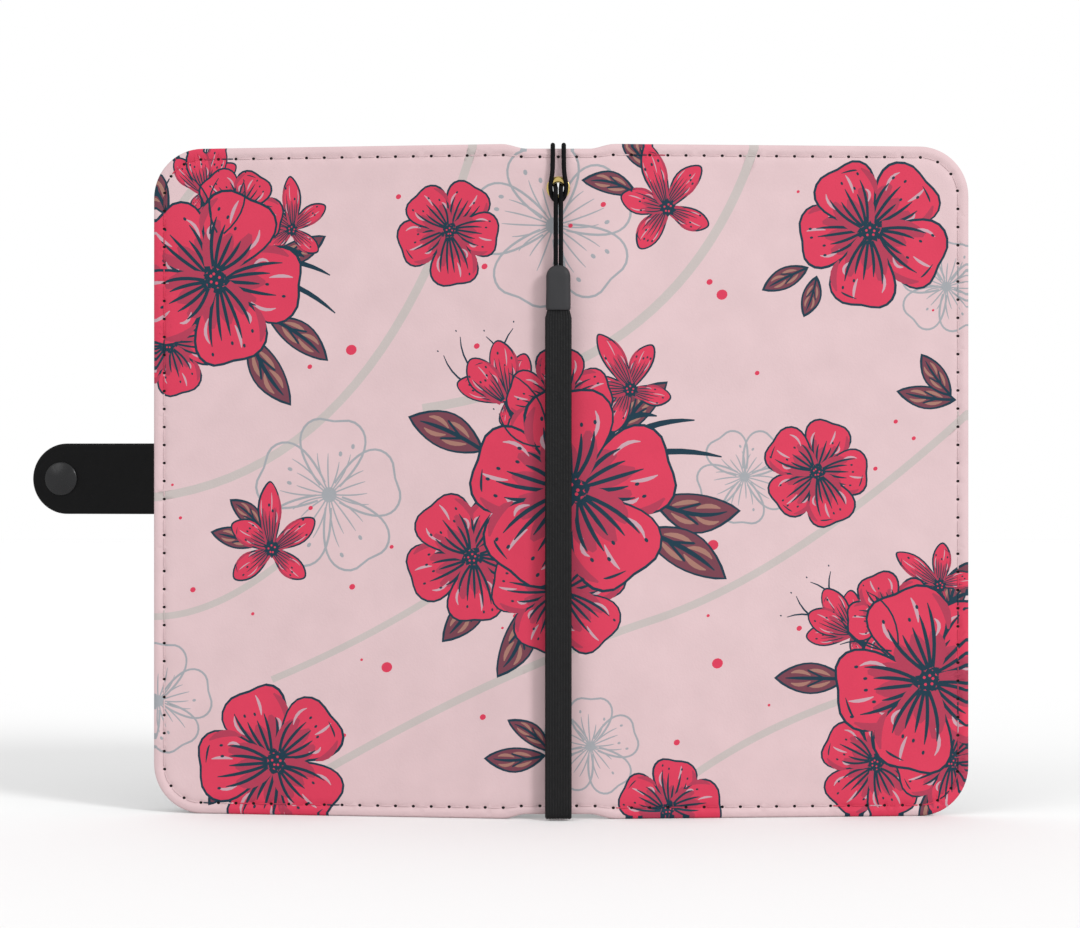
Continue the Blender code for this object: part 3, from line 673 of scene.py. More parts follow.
def petal_outline(root, aim, length, breadth, grow=0.0, notch=0.05, lean=0.0, sharp=0.0, count=26):
    """The closed edge of a petal that points along aim. grow moves it outward all round, and sharp
    draws its tip to a point."""
    points = []
    for step in range(count):
        turn = tau * step / count - pi
        along = (1 + cos(turn)) / 2
        out = length * along**0.85 - notch * length * exp(-((turn / 0.34) ** 2)) + grow * cos(turn)
        side = (breadth / 2) * sin(turn) * (0.30 + 0.80 * along**0.55) * (1 - sharp * along**3)
        side += grow * sin(turn)
        side += lean * length * sin(pi * along)
        points.append(on_petal(root, aim, out, side))
    return points


def petal(draw, root, aim, length, breadth, notch=0.05, line=0.42, sharp=0.0):
    """One painted petal with its shade, lights and veins."""
    lean = draw.uniform(-0.05, 0.05)
    shape = {"notch": notch, "lean": lean, "sharp": sharp}
    mark("outline", petal_outline(root, aim, length, breadth, grow=line * 0.62, **shape))
    inner_aim = aim + draw.uniform(-0.01, 0.01)
    mark("petal_red", petal_outline(root, inner_aim, length, breadth, grow=-line * 0.45, **shape))

    def here(out, side):
        return on_petal(root, aim, out * length, side * breadth + lean * length)

    def stroke(ink, out_from, side_from, out_to, side_to, wide, bow=0.0, ends=(0.0, 0.0), count=5):
        middle = here((out_from + out_to) / 2, (side_from + side_to) / 2 + bow)
        line = curve(here(out_from, side_from), middle, here(out_to, side_to), count)
        brush(ink, line, wide * breadth, *ends)

    for side in (-0.19, 0.02, 0.22):
        reach = draw.uniform(0.42, 0.62)
        stroke("petal_shade", 0.05, side * 0.4, reach, side, 0.20, side * 0.4, (0.6, 0.0))
    edge = draw.choice((-1, 1))
    stroke("petal_shade", 0.38, edge * 0.36, 0.80, edge * 0.34, 0.09, edge * 0.12)
    for side, low, high in ((-0.27, 0.42, 0.72), (0.10, 0.56, 0.84), (0.26, 0.34, 0.52)):
        side *= edge
        shift = draw.uniform(-0.05, 0.05)
        stroke("pale_stroke", low + shift, side * 0.8, high + shift, side, 0.040, side * 0.35)
    for side in (-0.25, -0.12, 0.0, 0.13, 0.26):
        reach = draw.uniform(0.44, 0.74)
        stroke("outline", 0.06, side * 0.2, reach, side, 0.042, side * 0.36, (1.0, 0.0), 6)
        if draw.random() < 0.6:
            spot("outline", *here(reach + 0.09, side * 1.05), 0.022 * length + 0.07, 7, 0.7, aim)
    if draw.random() < 0.5:
        stroke("outline", 0.87, edge * 0.06, 0.80, edge * 0.28, 0.028, edge * 0.07)


def flower_eye(draw, x, z, size):
    """The dark middle of a blossom, ragged at its edge, with red specks and a ring of stamens."""
    outline = []
    for step in range(20):
        turn = tau * step / 20
        reach = size * (1.0 if step % 2 else 0.72) * draw.uniform(0.9, 1.1)
        outline.append((x + reach * cos(turn), z + reach * sin(turn)))
    mark("outline", outline)
    for step in range(5):
        turn = tau * (step + draw.random() * 0.5) / 5
        spot("petal_red", x + size * 0.38 * cos(turn), z + size * 0.38 * sin(turn), size * 0.12, 6)


# %% [markdown]
# Blossoms differ only in how large and wide their petals are, and in which way they face.
# The half-open ones have longer petals and an uneven spread. Buds are three petals in a cup with
# fine whiskers, and a leaf is a pointed oval with a midrib.

# %% Blossoms, buds and leaves
PETALS = 5
FINE_LINE = 0.36  # the width of the dark line round buds and leaves


def blossom(draw, x, z, radius, turn, breadth=1.02, line=0.42):
    """An open blossom. Every second petal is laid first, so that petals overlap both ways."""
    for number in (*range(0, PETALS, 2), *range(1, PETALS, 2)):
        aim = turn + tau * number / PETALS + draw.uniform(-0.08, 0.08)
        length = radius * draw.uniform(0.93, 1.05)
        root = (x + 0.06 * radius * cos(aim), z + 0.06 * radius * sin(aim))
        petal(draw, root, aim, length, length * breadth, 0.06, line)
    flower_eye(draw, x, z, radius * 0.15)


def half_open(draw, x, z, radius, turn):
    """A blossom seen from the side: narrow petals that fan out unevenly."""
    for spread, reach, breadth, sharp in (
        (-2.2, 0.72, 0.42, 0.45), (2.3, 0.80, 0.46, 0.45), (-0.9, 0.86, 0.44, 0.45),
        (1.1, 0.78, 0.50, 0.45), (0.1, 1.1, 0.46, 0.55),
    ):
        petal(draw, (x, z), turn + spread, radius * reach, radius * breadth, 0.0, 0.38, sharp)
    flower_eye(draw, x, z, radius * 0.15)


def whiskers(draw, x, z, radius, turn, count, reach=1.0):
    """Fine curved threads that spring out of a flower, each with a dot past its end."""
    for number in range(count):
        aim = turn + (number - (count - 1) / 2) * 0.34 + draw.uniform(-0.06, 0.06)
        far = radius * reach * draw.uniform(0.85, 1.15)
        bow = aim + draw.choice((-0.35, 0.35))
        start = (x + 0.3 * radius * cos(aim), z + 0.3 * radius * sin(aim))
        pull = (x + 0.7 * far * cos(bow), z + 0.7 * far * sin(bow))
        stop = (x + far * cos(aim), z + far * sin(aim))
        brush("outline", curve(start, pull, stop, 7), 0.42, 1.0, 0.2)
        spot("outline", x + far * 1.09 * cos(aim), z + far * 1.09 * sin(aim), 0.24, 7, 0.7, aim)


def bud(draw, x, z, radius, turn):
    """A cup of petals on a short dark stalk."""
    whiskers(draw, x, z, radius, turn, 4, 1.5)
    for spread, reach, breadth in (
        (-0.80, 0.95, 0.5), (0.78, 1.0, 0.55), (-0.28, 1.15, 0.62), (0.30, 1.05, 0.66),
    ):
        petal(draw, (x, z), turn + spread, radius * reach, radius * breadth, 0.0, FINE_LINE, 0.4)
    foot = (x - 0.42 * radius * cos(turn), z - 0.42 * radius * sin(turn))
    for spread in (0.5, -0.5):
        petal(draw, (x, z), turn + pi + spread, radius * 0.45, radius * 0.30, 0.0, FINE_LINE)
    brush("outline", curve((x, z), foot, foot, 3), radius * 0.13, 1.0, 0.6)


def leaf(draw, x, z, length, aim):
    """A pointed leaf that grows from x, z."""
    breadth = length * draw.uniform(0.36, 0.44)
    bow = draw.uniform(-0.10, 0.10) * length

    def here(out, side):
        return on_petal((x, z), aim, out, side)

    def edge(grow, ends):
        points = []
        for side in (1, -1):
            for step in range(11):
                t = step / 10 if side > 0 else 1 - step / 10
                if 0 < step or side > 0:
                    out = -ends + t * (length + 2 * ends)
                    wide = side * (breadth / 2 * sin(pi * t) ** 0.85 + grow * sin(pi * t) ** 0.3)
                    points.append(here(out, wide + bow * sin(pi * t)))
        return points[:-1]

    mark("outline", edge(FINE_LINE * 0.6, FINE_LINE))
    mark("leaf_maroon", edge(-FINE_LINE * 0.5, -FINE_LINE))
    start = here(0.0, 0.0)
    middle = here(0.5 * length, 2.0 * bow)
    stop = here(0.86 * length, 0.3 * bow)
    for side in (-1, 1):
        for low, high in ((0.22, 0.52), (0.50, 0.78)):
            begin = here(low * length, side * 0.10 * breadth + bow * 0.8)
            end = here(high * length, side * 0.27 * breadth * sin(pi * high) + bow * 0.8)
            pull = here((low + high) / 2 * length, side * 0.30 * breadth + bow)
            brush("leaf_light", curve(begin, pull, end, 5), 0.055 * length, 0.0, 0.0)
    brush("outline", curve(start, middle, stop, 8), 0.05 * length, 1.0, 0.0)
    for side in (-1, 1):
        begin = here(0.30 * length, bow * 0.7)
        end = here(0.55 * length, side * 0.28 * breadth + bow)
        brush("outline", curve(begin, end, end, 4), 0.03 * length, 1.0, 0.0)


def line_blossom(draw, x, z, radius, turn, wide=0.75):
    """A blossom in pale line only, as if drawn behind the others."""
    for number in range(PETALS):
        aim = turn + tau * number / PETALS
        length = radius * draw.uniform(0.9, 1.05)
        edge = petal_outline((x, z), aim, length, radius * 0.95, notch=0.07, count=34)
        edge += edge[:1]
        for part in (edge[3:11], edge[10:18], edge[17:25], edge[24:32]):
            brush("line_grey", part, wide, 0.85, 0.85)
        for side in (-0.24, -0.10, 0.05, 0.19):
            reach = draw.uniform(0.42, 0.64)
            start = on_petal((x, z), aim, 0.08 * radius, side * 0.2 * radius)
            stop = on_petal((x, z), aim, reach * radius, side * radius)
            pull = on_petal((x, z), aim, reach * 0.6 * radius, side * 0.9 * radius)
            brush("line_grey", curve(start, pull, stop, 6), 0.65 * wide, 1.0, 0.2)
            if draw.random() < 0.5:
                dot = on_petal((x, z), aim, (reach + 0.1) * radius, side * 1.1 * radius)
                spot("line_grey", *dot, 0.035 * radius, 7, 0.7, aim)
    spot("line_grey", x, z, radius * 0.10, 10)


# %% [markdown]
# The layout is set in millimetres on the open case, from the middle of the spine and the table.
# Two full bunches sit in opposite corners and one across the spine, with single blossoms between
# them. Ribbons and line blossoms come first, because the print has them underneath.

# %% The print's layout
draw = random.Random(41)
for start, pull, stop, wide in (
    ((-95, 70), (-40, 74), (-18, 150), 1.9),
    ((-52, 10), (-10, 34), (22, 44), 1.7),
    ((22, 44), (52, 54), (92, 90), 1.7),
    ((-30, 90), (28, 98), (44, 150), 2.0),
    ((-64, 30), (-16, 50), (16, 84), 1.5),
    ((14, -4), (40, 24), (95, 34), 1.6),
    ((-95, 44), (-80, 42), (-62, 56), 1.5),
    ((-86, 134), (-72, 152), (-68, 156), 1.8),
):
    line = curve(start, pull, stop, 24)
    for at in range(0, 24, 6):
        brush("ribbon_grey", line[at:at + 7], wide, 1.0, 1.0)
for x, z, radius, turn in (
    (-1, 130, 18.5, 0.5), (-51, 71, 17.5, 1.5), (41, 75, 11.0, 0.9), (86, 117, 11.0, 1.4),
    (7, 16, 11.0, 0.3), (-90, 25, 13.0, 0.2),
):
    line_blossom(draw, x, z, radius, turn, 0.34 + radius * 0.011)
for number in range(46):
    x, z, radius = draw.uniform(-88, 88), draw.uniform(4, 144), draw.uniform(0.3, 0.75)
    spot("petal_red", x, z, radius, 9, 0.85, 0.6)
for x, z in ((-46, 103), (-38, 33), (36, 115), (34, 60), (35, 34)):
    spot("petal_red", x, z, 1.25, 12, 0.9, 0.4)


def bunch(draw, x, z, size, turn, far):
    """A full bunch: leaves and buds at the back, smaller blossoms round one large one in front. far
    spreads the small ones, and all angles start from turn."""

    def out(angle, reach):
        return x + reach * size * cos(turn + angle), z + reach * size * sin(turn + angle)

    for angle, reach, length in (
        (-0.22, 0.80, 0.85), (-0.62, 0.78, 0.95), (-2.05, 1.20, 0.75), (-2.38, 1.22, 0.72),
        (2.62, 0.95, 0.80), (0.75, 0.7, 0.7),
    ):
        leaf(draw, *out(angle, reach), size * length, turn + angle)
    for angle, reach in ((0.12, 1.50), (0.42, 1.38), (0.62, 1.1)):
        blade = curve(out(angle + 0.25, 0.50), out(angle + 0.30, 0.95), out(angle, reach), 9)
        brush("outline", blade, 0.060 * size, 1.0, 0.0)
    bud(draw, *out(2.1, 1.02 * far), size * 0.52, turn + 1.9)
    half_open(draw, *out(0.95, 1.08 * far), size * 0.56, turn + 1.9)
    blossom(draw, *out(1.62, 0.82 * far), size * 0.52, turn + 0.2)
    blossom(draw, *out(-2.65, 1.12 * far), size * 0.62, turn + 0.9)
    blossom(draw, *out(-1.80, 0.95 * far), size * 0.62, turn + 0.4)
    blossom(draw, x, z, size, turn + 0.25, 1.0, 0.55)
    whiskers(draw, *out(1.9, 0.3), size * 0.8, turn + 2.0, 3, 1.1)


for x, z, length, aim in (
    (17, 137, 12, 2.9), (21, 142, 11, 2.3), (55, 121, 11, 3.6), (57, 119, 9, 4.4), (-67, 60, 11, 2.9),
    (-66, 63, 10, 2.4), (-3, 14, 13, 3.2), (-2, 15, 11, 2.5), (88, 92, 13, 3.0), (87, 93, 11, 2.2),
    (-71, 9, 10, 3.9),
):
    leaf(draw, x, z, length, aim)
blossom(draw, -24, 129, 11.2, 1.05)
blossom(draw, 69, 129, 16.2, 0.75, line=0.5)
blossom(draw, 57, 76, 11.5, 1.3)
blossom(draw, -63, 12, 16.5, 1.9, line=0.5)
blossom(draw, 24, 2, 11.0, 1.4)
half_open(draw, 24, 134, 13.5, 1.8)
half_open(draw, -64, 59, 13.5, 1.5)
bunch(draw, -77, 119, 19.0, -0.4, 1.0)
bunch(draw, 3, 72, 22.5, 0.1, 1.05)
bunch(draw, 82, 30, 19.5, 0.5, 1.0)
print("marks in the print", len(marks))

# %% [markdown]
# To turn the flat drawing into leather, the sheet is cut into triangles along every mark's edge. The
# library's constrained triangulation does that, and says which marks each triangle lies under.
# It slows down with size, so the sheet is worked in small squares that share the points on their sides.

# %% Cutting a sheet along its marks
def reach_of(outline):
    """The lowest and highest x of an outline, and its lowest and highest z."""
    across = [point[0] for point in outline]
    up = [point[1] for point in outline]
    return min(across), max(across), min(up), max(up)


def carve(edge, shapes, guides, tile):
    """Cuts the flat area inside edge into triangles that follow all shapes and use all guide points.
    Returns the points, and for each triangle its corners and the ink on top."""
    points = []
    known = {}
    triangles = []
    reaches = [reach_of(outline) for _, outline in shapes]
    low_x, high_x, low_z, high_z = reach_of(edge)
    columns = max(1, round((high_x - low_x) / tile))
    rows = max(1, round((high_z - low_z) / tile))
    wide = (high_x - low_x) / columns
    high = (high_z - low_z) / rows
    for column in range(columns):
        for row in range(rows):
            x0, x1 = low_x + column * wide, low_x + (column + 1) * wide
            z0, z1 = low_z + row * high, low_z + (row + 1) * high
            count = ceil(wide / 1.6)
            square = [(x0 + (x1 - x0) * at / count, z0) for at in range(count)]
            square += [(x1, z0 + (z1 - z0) * at / count) for at in range(count)]
            square += [(x1 + (x0 - x1) * at / count, z1) for at in range(count)]
            square += [(x0, z1 + (z0 - z1) * at / count) for at in range(count)]
            loops = [edge, square]
            inks = [None, None]
            for (ink, outline), (left, right, foot, top) in zip(shapes, reaches):
                if left < x1 and right > x0 and foot < z1 and top > z0:
                    loops.append(outline)
                    inks.append(ink)
            flat = [point for loop in loops for point in loop]
            faces = []
            start = 0
            for loop in loops:
                faces.append(list(range(start, start + len(loop))))
                start += len(loop)
            flat += [p for p in guides if x0 + 0.05 < p[0] < x1 - 0.05 and z0 + 0.05 < p[1] < z1 - 0.05]
            found = delaunay_2d_cdt([Vector(point) for point in flat], [], faces, 1, 1e-5, True)
            spots, cut_faces, owners = found[0], found[2], found[5]
            for corners, owner in zip(cut_faces, owners):
                if 0 not in owner or 1 not in owner:
                    continue
                ids = []
                for corner in corners:
                    key = (round(spots[corner].x, 3), round(spots[corner].y, 3))
                    if key not in known:
                        known[key] = len(points)
                        points.append(key)
                    ids.append(known[key])
                if len(set(ids)) == 3:
                    triangles.append((ids, inks[max(owner)]))
    return points, triangles

# %% [markdown]
# A sheet is more than its flat cut. Its face follows a relief, and at the edge it rolls over and is turned
# in. The roll is a short list of steps: how far in from the edge, how deep, and how much leather has been
# used up by then. Every step is a copy of the edge, moved outward along the sheet, so the print
# simply runs on over the edge, as it does on the real case. The flat map keeps true millimetres.

# %% Building a sheet
FLAT_MAP = "OFBake"
FLAT_UNIT = 160.0
FLAT_MARGIN = 6.0


def make_sheet(
    name, edge, distance, inset, shapes, inks, guides, deep_at, profile, inward, finishes,
):
    """A sheet with a relief and a rolled edge. inward says that its face looks to the inside of the
    case, and a triangle with the ink "open" is left out."""
    flat, triangles = carve(edge, shapes, guides, 15.0)
    corners = [place(x, z, deep_at(x, z)) for x, z in flat]
    layout = [(abs(x), z) for x, z in flat]
    order = {ink: at for at, ink in enumerate(inks)}
    faces = []
    owners = []
    for ids, ink in triangles:
        if ink != "open":
            faces.append(tuple(reversed(ids)) if inward else tuple(ids))
            owners.append(order.get(ink, 0))
    lone = {}
    for number, face in enumerate(faces):
        for a, b in zip(face, face[1:] + face[:1]):
            if (b, a) in lone:
                del lone[(b, a)]
            else:
                lone[(a, b)] = number
    near_edge = {at for at, (x, z) in enumerate(flat) if abs(distance(x, z) - inset) < 0.03}
    rows = {}

    def roll_of(at):
        """The points of the rolled edge beyond one point of the sheet's border."""
        if at not in rows:
            x, z = flat[at]
            step = 0.01
            gap_x = distance(x + step, z) - distance(x - step, z) if abs(x) > 0.02 else 0.0
            gap_z = distance(x, z + step) - distance(x, z - step)
            size = hypot(gap_x, gap_z)
            out_x, out_z = -gap_x / size, -gap_z / size
            start = deep_at(x, z)
            ids = [at]
            for edge_in, deep, used in profile:
                shift = inset - edge_in
                settle = start * max(0.0, 1 - used / 1.2) if profile[0][1] < CASE_T_MM / 2 else 0.0
                corners.append(place(x + out_x * shift, z + out_z * shift, deep + settle))
                layout.append((abs(x) + out_x * (-1 if x < 0 else 1) * used, z + out_z * used))
                ids.append(len(corners) - 1)
            rows[at] = ids
        return rows[at]

    for (a, b), number in list(lone.items()):
        if a in near_edge and b in near_edge:
            first = roll_of(a)
            second = roll_of(b)
            for step in range(len(profile)):
                faces.append((second[step], first[step], first[step + 1], second[step + 1]))
                owners.append(owners[number])
    mesh = bpy.data.meshes.new(name)
    mesh.from_pydata(corners, [], faces)
    mesh.polygons.foreach_set("material_index", owners)
    flat_map = mesh.uv_layers.new(name=FLAT_MAP)
    for loop in mesh.loops:
        u, v = layout[loop.vertex_index]
        flat_map.data[loop.index].uv = ((u + FLAT_MARGIN) / FLAT_UNIT, (v + FLAT_MARGIN) / FLAT_UNIT)
    bm = bmesh.new()
    bm.from_mesh(mesh)
    bmesh.ops.remove_doubles(bm, verts=bm.verts, dist=0.004 * MM)
    bmesh.ops.dissolve_degenerate(bm, dist=0.002 * MM, edges=bm.edges)
    loose = [vertex for vertex in bm.verts if not vertex.link_faces]
    bmesh.ops.delete(bm, geom=loose, context="VERTS")
    bm.to_mesh(mesh)
    bm.free()
    mesh.shade_smooth()
    made = bpy.data.objects.new(name, mesh)
    scene.collection.objects.link(made)
    for finish in finishes:
        mesh.materials.append(finish)
    print(name, len(mesh.polygons), "faces")
    return made


# %% [markdown]
# Stitches come before the sheets, since they shape them. The seam runs a few millimetres in
# from the edge. Each of the stitch holes is a mark of its own, a near-black painted shade for the
# shadow inside it, and pulls the leather down round it. Between the seam and the edge the leather
# stands up in a soft roll, and inside the seam it swells over the board.

# %% The seam and the relief round it
STITCH_IN = 2.45
STITCH_PITCH = 4.0
HOLE_R = 0.38


def walk(line, pitch):
    """Places along a line at an even pitch close to the given one, both ends among them."""
    run = [0.0]
    for a, b in zip(line, line[1:]):
        run.append(run[-1] + hypot(b[0] - a[0], b[1] - a[1]))
    count = round(run[-1] / pitch)
    found = []
    at = 0
    for step in range(count + 1):
        aim = run[-1] * step / count
        while at < len(run) - 2 and run[at + 1] < aim:
            at += 1
        t = (aim - run[at]) / (run[at + 1] - run[at])
        a, b = line[at], line[at + 1]
        found.append((a[0] + (b[0] - a[0]) * t, a[1] + (b[1] - a[1]) * t))
    return found


def seam_of(side):
    """The line that one half's stitches follow."""
    return edge_line(side, STITCH_IN, 0.5, SEAM_STRAIGHTER)


holes = {side: walk(seam_of(side), STITCH_PITCH) for side in (BACK, FRONT)}
hole_places = holes[BACK] + holes[FRONT]
hole_tree = KDTree(len(hole_places))
for number, (x, z) in enumerate(hole_places):
    hole_tree.insert((x, z, 0.0), number)
hole_tree.balance()


def swell(x, z):
    """How far the sheet stands out from its flat face here, in millimetres. The closed tab presses the
    front cover flatter where it lies."""
    d = from_edge(x, z)
    seam = from_edge_of_seam(x, z) - STITCH_IN
    out = 0.15 * exp(-(((d - 1.25) / 0.50) ** 2))
    out -= 0.17 * exp(-((seam / 0.38) ** 2))
    out += 0.09 * exp(-(((d - 4.3) / 1.2) ** 2))
    near = hole_tree.find((x, z, 0.0))[2]
    out -= 0.20 * exp(-((near / 0.40) ** 2)) + 0.07 * exp(-((near / 1.1) ** 2))
    rumple = exp(-((d / 4.5) ** 2))
    out += rumple * 0.045 * noise.noise(Vector((x * 0.9, z * 0.9, 3.0)))
    out += rumple * 0.030 * noise.noise(Vector((x * 2.1, z * 2.1, 7.0)))
    out += 0.030 * noise.noise(Vector((x * 0.11, z * 0.11, 1.0)))
    pressed = 0.6 * exp(-(((z - HIGH_MM / 2) / 9.5) ** 4)) if x > 0 and out > 0 else 0.0
    return out * (1 - pressed) - 0.06 * exp(-(((abs(x) - HINGE_MM) / 1.6) ** 2))


def seam_guides(side, insets, spacing):
    """Points for the triangles: rows along the edge, columns over the soft strip, and an open field."""
    points = []
    for inset in insets:
        points += [(x, z) for x, z in edge_line(side, inset, 0.8) if abs(x) > 0.3]
    across = HINGE_MM - FLEX_MM
    while across < HINGE_MM + FLEX_MM:
        points += [(side * across, 5.5 + 1.1 * row) for row in range(int((HIGH_MM - 11) / 1.1) + 1)]
        across += 0.4
    for column in range(ceil(HALF_MM / spacing)):
        for row in range(ceil(HIGH_MM / spacing)):
            x = side * (1.0 + column * spacing)
            z = 1.0 + (row + 0.5 * (column % 2)) * spacing
            soft = abs(abs(x) - HINGE_MM) < FLEX_MM + 0.4
            if from_edge(x, z) > 5.4 and not soft:
                points.append((x, z))
    return points


# The stitch holes get near-black marks: painted shade standing for the shadow inside them.
for x, z in hole_places:
    spot("hole", x, z, HOLE_R, 10, 0.85)
EYELET_OPEN = 1.62
spot("open", 0.0, EYELET_Z / MM, EYELET_OPEN, 28)
print("stitch holes", len(hole_places))

# %% [markdown]
# The inks are all the same leather finish in another colour. The ground is a warm pale pink with a little
# mottling. The print lies in the leather's matt top coat, so its gloss is low and the grain stays fine.
# One colour among them is no ink but painted shade: the near-black in the stitch holes.

# %% The printed leather
def ink_finish(name, code):
    return grained(
        name, code, FLAT_MAP, FLAT_UNIT, rough=0.52, rough_swing=0.07, cell=0.42, cell_deep=0.020,
        pore=0.13, pore_deep=0.007, mottle=0.03, level=0.12,
    )


ink_codes = {
    "ground": "#E1C5C8",
    "ribbon_grey": "#C9BFBC",
    "line_grey": "#A6A9AE",
    "petal_red": "#DC3F5C",
    "petal_shade": "#B43E58",
    "pale_stroke": "#C9A5B0",
    "outline": "#1C3B4B",
    "leaf_maroon": "#7A4351",
    "leaf_light": "#A97B6F",
    # painted shade, not print: the near-black shadow inside the stitch holes
    "hole": "#140D0F",
}
print_inks = {ink: ink_finish(f"print_{ink}", code) for ink, code in ink_codes.items()}
skin_roll = []
EDGE_R = 0.7
for step in range(1, 6):
    turn = pi / 2 * step / 5
    skin_roll.append((EDGE_R * (1 - sin(turn)), EDGE_R * (1 - cos(turn)), EDGE_R * turn))
TURNED_DEEP = 1.72
BACK_R = 0.5
skin_roll.append((0.0, 0.98, EDGE_R * pi / 2 + 0.28))
for step in range(5):
    turn = pi / 2 * step / 4
    used = EDGE_R * pi / 2 + TURNED_DEEP - EDGE_R - BACK_R + BACK_R * turn
    skin_roll.append((BACK_R * (1 - cos(turn)), TURNED_DEEP - BACK_R * (1 - sin(turn)), used))
skin_roll.append((1.5, TURNED_DEEP + 0.02, used + 1.0))
skin_roll.append((3.0, TURNED_DEEP, used + 2.5))
RIM_ROWS = (1.0, 1.3, 1.65, 2.0, 2.25, 2.65, 2.95, 3.4, 3.9, 4.6)


def closed_edge(side, inset):
    """One half's edge closed along the middle of the spine, with its inside on the left."""
    line = edge_line(side, inset, 0.9)
    return line if side == FRONT else line[::-1]


def across_hinge(piece):
    """Bakes the piece's placement into its mesh."""
    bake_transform(piece)


for side, half, cover, nodes in (
    (BACK, "back_half", "back_cover", ("back_skin", "back_hinge_leather", "spine_skin")),
    (FRONT, "front_half", "front_cover", ("front_skin", "front_hinge_leather")),
):
    skin = make_sheet(
        f"printed_leather_{half}", closed_edge(side, EDGE_R), from_edge, EDGE_R, marks,
        list(print_inks), seam_guides(side, RIM_ROWS, 2.6), lambda x, z: -swell(x, z), skin_roll,
        False, print_inks.values(),
    )
    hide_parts(*nodes)
    across_hinge(skin)

# %% [markdown]
# The lining is black, thin and a little rubbery. It is a sheet of its own, cut smaller than the outer
# leather so that a narrow border of turned leather frames it. The same builder makes it, from the other
# side: its face looks inward and its edge rolls down on to the turned leather. The seam shows on it too,
# its holes filled with a painted shade darker than the lining.

# %% The lining
LINING_IN = 1.75


def soft_black(
    name, code, rough, cell=0.5, cell_deep=0.03, flat_map=FLAT_MAP, unit=FLAT_UNIT, level=0.18,
):
    """A dull black with a fine grain."""
    return grained(
        name, code, flat_map, unit, rough=rough, cell=cell, cell_deep=cell_deep, pore_deep=0.008,
        mottle=0.10, level=level,
    )


def lining_deep(x, z):
    """How deep the lining's face is. The seam's furrow shows on it a little less than outside."""
    return CASE_T_MM + min(0.0, swell(x, z)) * 0.8


lining_finish = soft_black("black_lining", "#19191B", 0.52, 0.62, 0.035)
# painted shade: the lining's stitch holes get a near-black standing for the shadow inside them
dark_hole = soft_black("lining_stitch_hole", "#060607", 0.8)
lining_marks = [("hole", outline) for ink, outline in marks if ink == "hole"]
lining_marks.append(("open", marks[-1][1]))
lining_roll = [
    (1.62, CASE_T_MM - 0.05, 0.14), (1.52, CASE_T_MM - 0.14, 0.28), (1.50, TURNED_DEEP - 0.04, 0.42),
]
for side, half, cover, nodes in (
    (BACK, "back_half", "back_cover", ("back_lining", "spine_lining")),
    (FRONT, "front_half", "front_cover", ("front_lining",)),
):
    lining = make_sheet(
        f"lining_{half}", closed_edge(side, LINING_IN), from_edge, LINING_IN, lining_marks,
        ["cloth", "hole"], seam_guides(side, RIM_ROWS[3:], 3.2), lining_deep, lining_roll, True,
        [lining_finish, dark_hole],
    )
    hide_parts(*nodes)
    across_hinge(lining)

# %% [markdown]
# The thread shows as one short stitch after another, dipping into the holes. Each stitch is a small
# bowed roll of thread, thinner at its ends. The case is printed after it is sewn, so an outer stitch takes
# the ink that it lies in, and the ones inside are black. A half's stitches are one piece, laid over
# the hinge strip as their leather is.

# %% The stitching
THREAD_R = 0.16
STITCH_PARTS = 10


def ink_at(x, z):
    """The ink on top of the print at a place."""
    for ink, outline in reversed(marks):
        if ink in ("hole", "open"):
            continue
        inside = False
        for (ax, az), (bx, bz) in zip(outline, outline[1:] + outline[:1]):
            if (az > z) != (bz > z) and x < ax + (z - az) / (bz - az) * (bx - ax):
                inside = not inside
        if inside:
            return ink
    return "ground"


def stitch_row(name, side, face_deep, outward, finishes):
    """All stitches of one half, on the outer or the inner face. outward is -1 outside and +1 inside.
    Where there are several finishes, each stitch takes the one of the ink that it lies in."""
    bm = bmesh.new()
    stitches = len(holes[side]) - 1
    seam = seam_of(side)
    line = walk(seam, line_length(seam) / (stitches * STITCH_PARTS))
    names = list(finishes)
    for number in range(stitches):
        part = line[number * STITCH_PARTS + 1:(number + 1) * STITCH_PARTS]
        last = len(part) - 1
        route = []
        for at, (x, z) in enumerate(part):
            ends = at in (0, last)
            route.append(place(x, z, face_deep(x, z) + outward * THREAD_R * (-1.6 if ends else 0.35)))
        rings = tube_rings(route, lambda at: THREAD_R * MM * (0.8 + 0.2 * sin(pi * at / last)), 7)
        middle = part[len(part) // 2]
        loft(bm, rings, names.index(ink_at(*middle)) if len(names) > 1 else 0)
    made = piece_from(bm, name, finishes.values())
    across_hinge(made)


def thread_finish(name, code):
    return grained(
        name, code, ROUND_MAP, ROUND_UNIT, rough=0.6, cell=0.16, cell_deep=0.03, pore=0.05,
        mottle=0.06, level=0.15,
    )


black_thread = thread_finish("black_thread", "#1B1B1D")
thread_inks = {
    ink: thread_finish(f"thread_{ink}", code) for ink, code in ink_codes.items() if ink != "hole"
}
for side, half, cover in ((BACK, "back_half", "back_cover"), (FRONT, "front_half", "front_cover")):
    stitch_row(
        f"outer_stitches_{half}", side, lambda x, z: -swell(x, z), -1, thread_inks,
    )
    stitch_row(
        f"inner_stitches_{half}", side, lambda x, z: CASE_T_MM - 0.1, 1,
        {"thread": black_thread},
    )

# %% [markdown]
# The closing tab is two layers of black leather with a magnet between them, and a full round end. Its
# edges are rubbed round. Seen from above it is a flat outline, so its thickness can be told from
# the distance to that outline: full inside, and falling off in a quarter round at the edge. Rings across the
# tab follow that rule. It is split halfway between its two folds.

# %% The closing tab
along_back = Vector((-cos(LEAN[BACK]), sin(LEAN[BACK]), 0.0))
tab_low, tab_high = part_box("tab_bridge")


def along_cover(point):
    """How far out along the back cover a point is from its hinge line, in millimetres."""
    off = Vector((point.x - back_line.x, point.y - back_line.y, 0.0))
    return off.dot(along_back) / MM


def box_middle(node):
    low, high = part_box(node)
    return (low + high) / 2


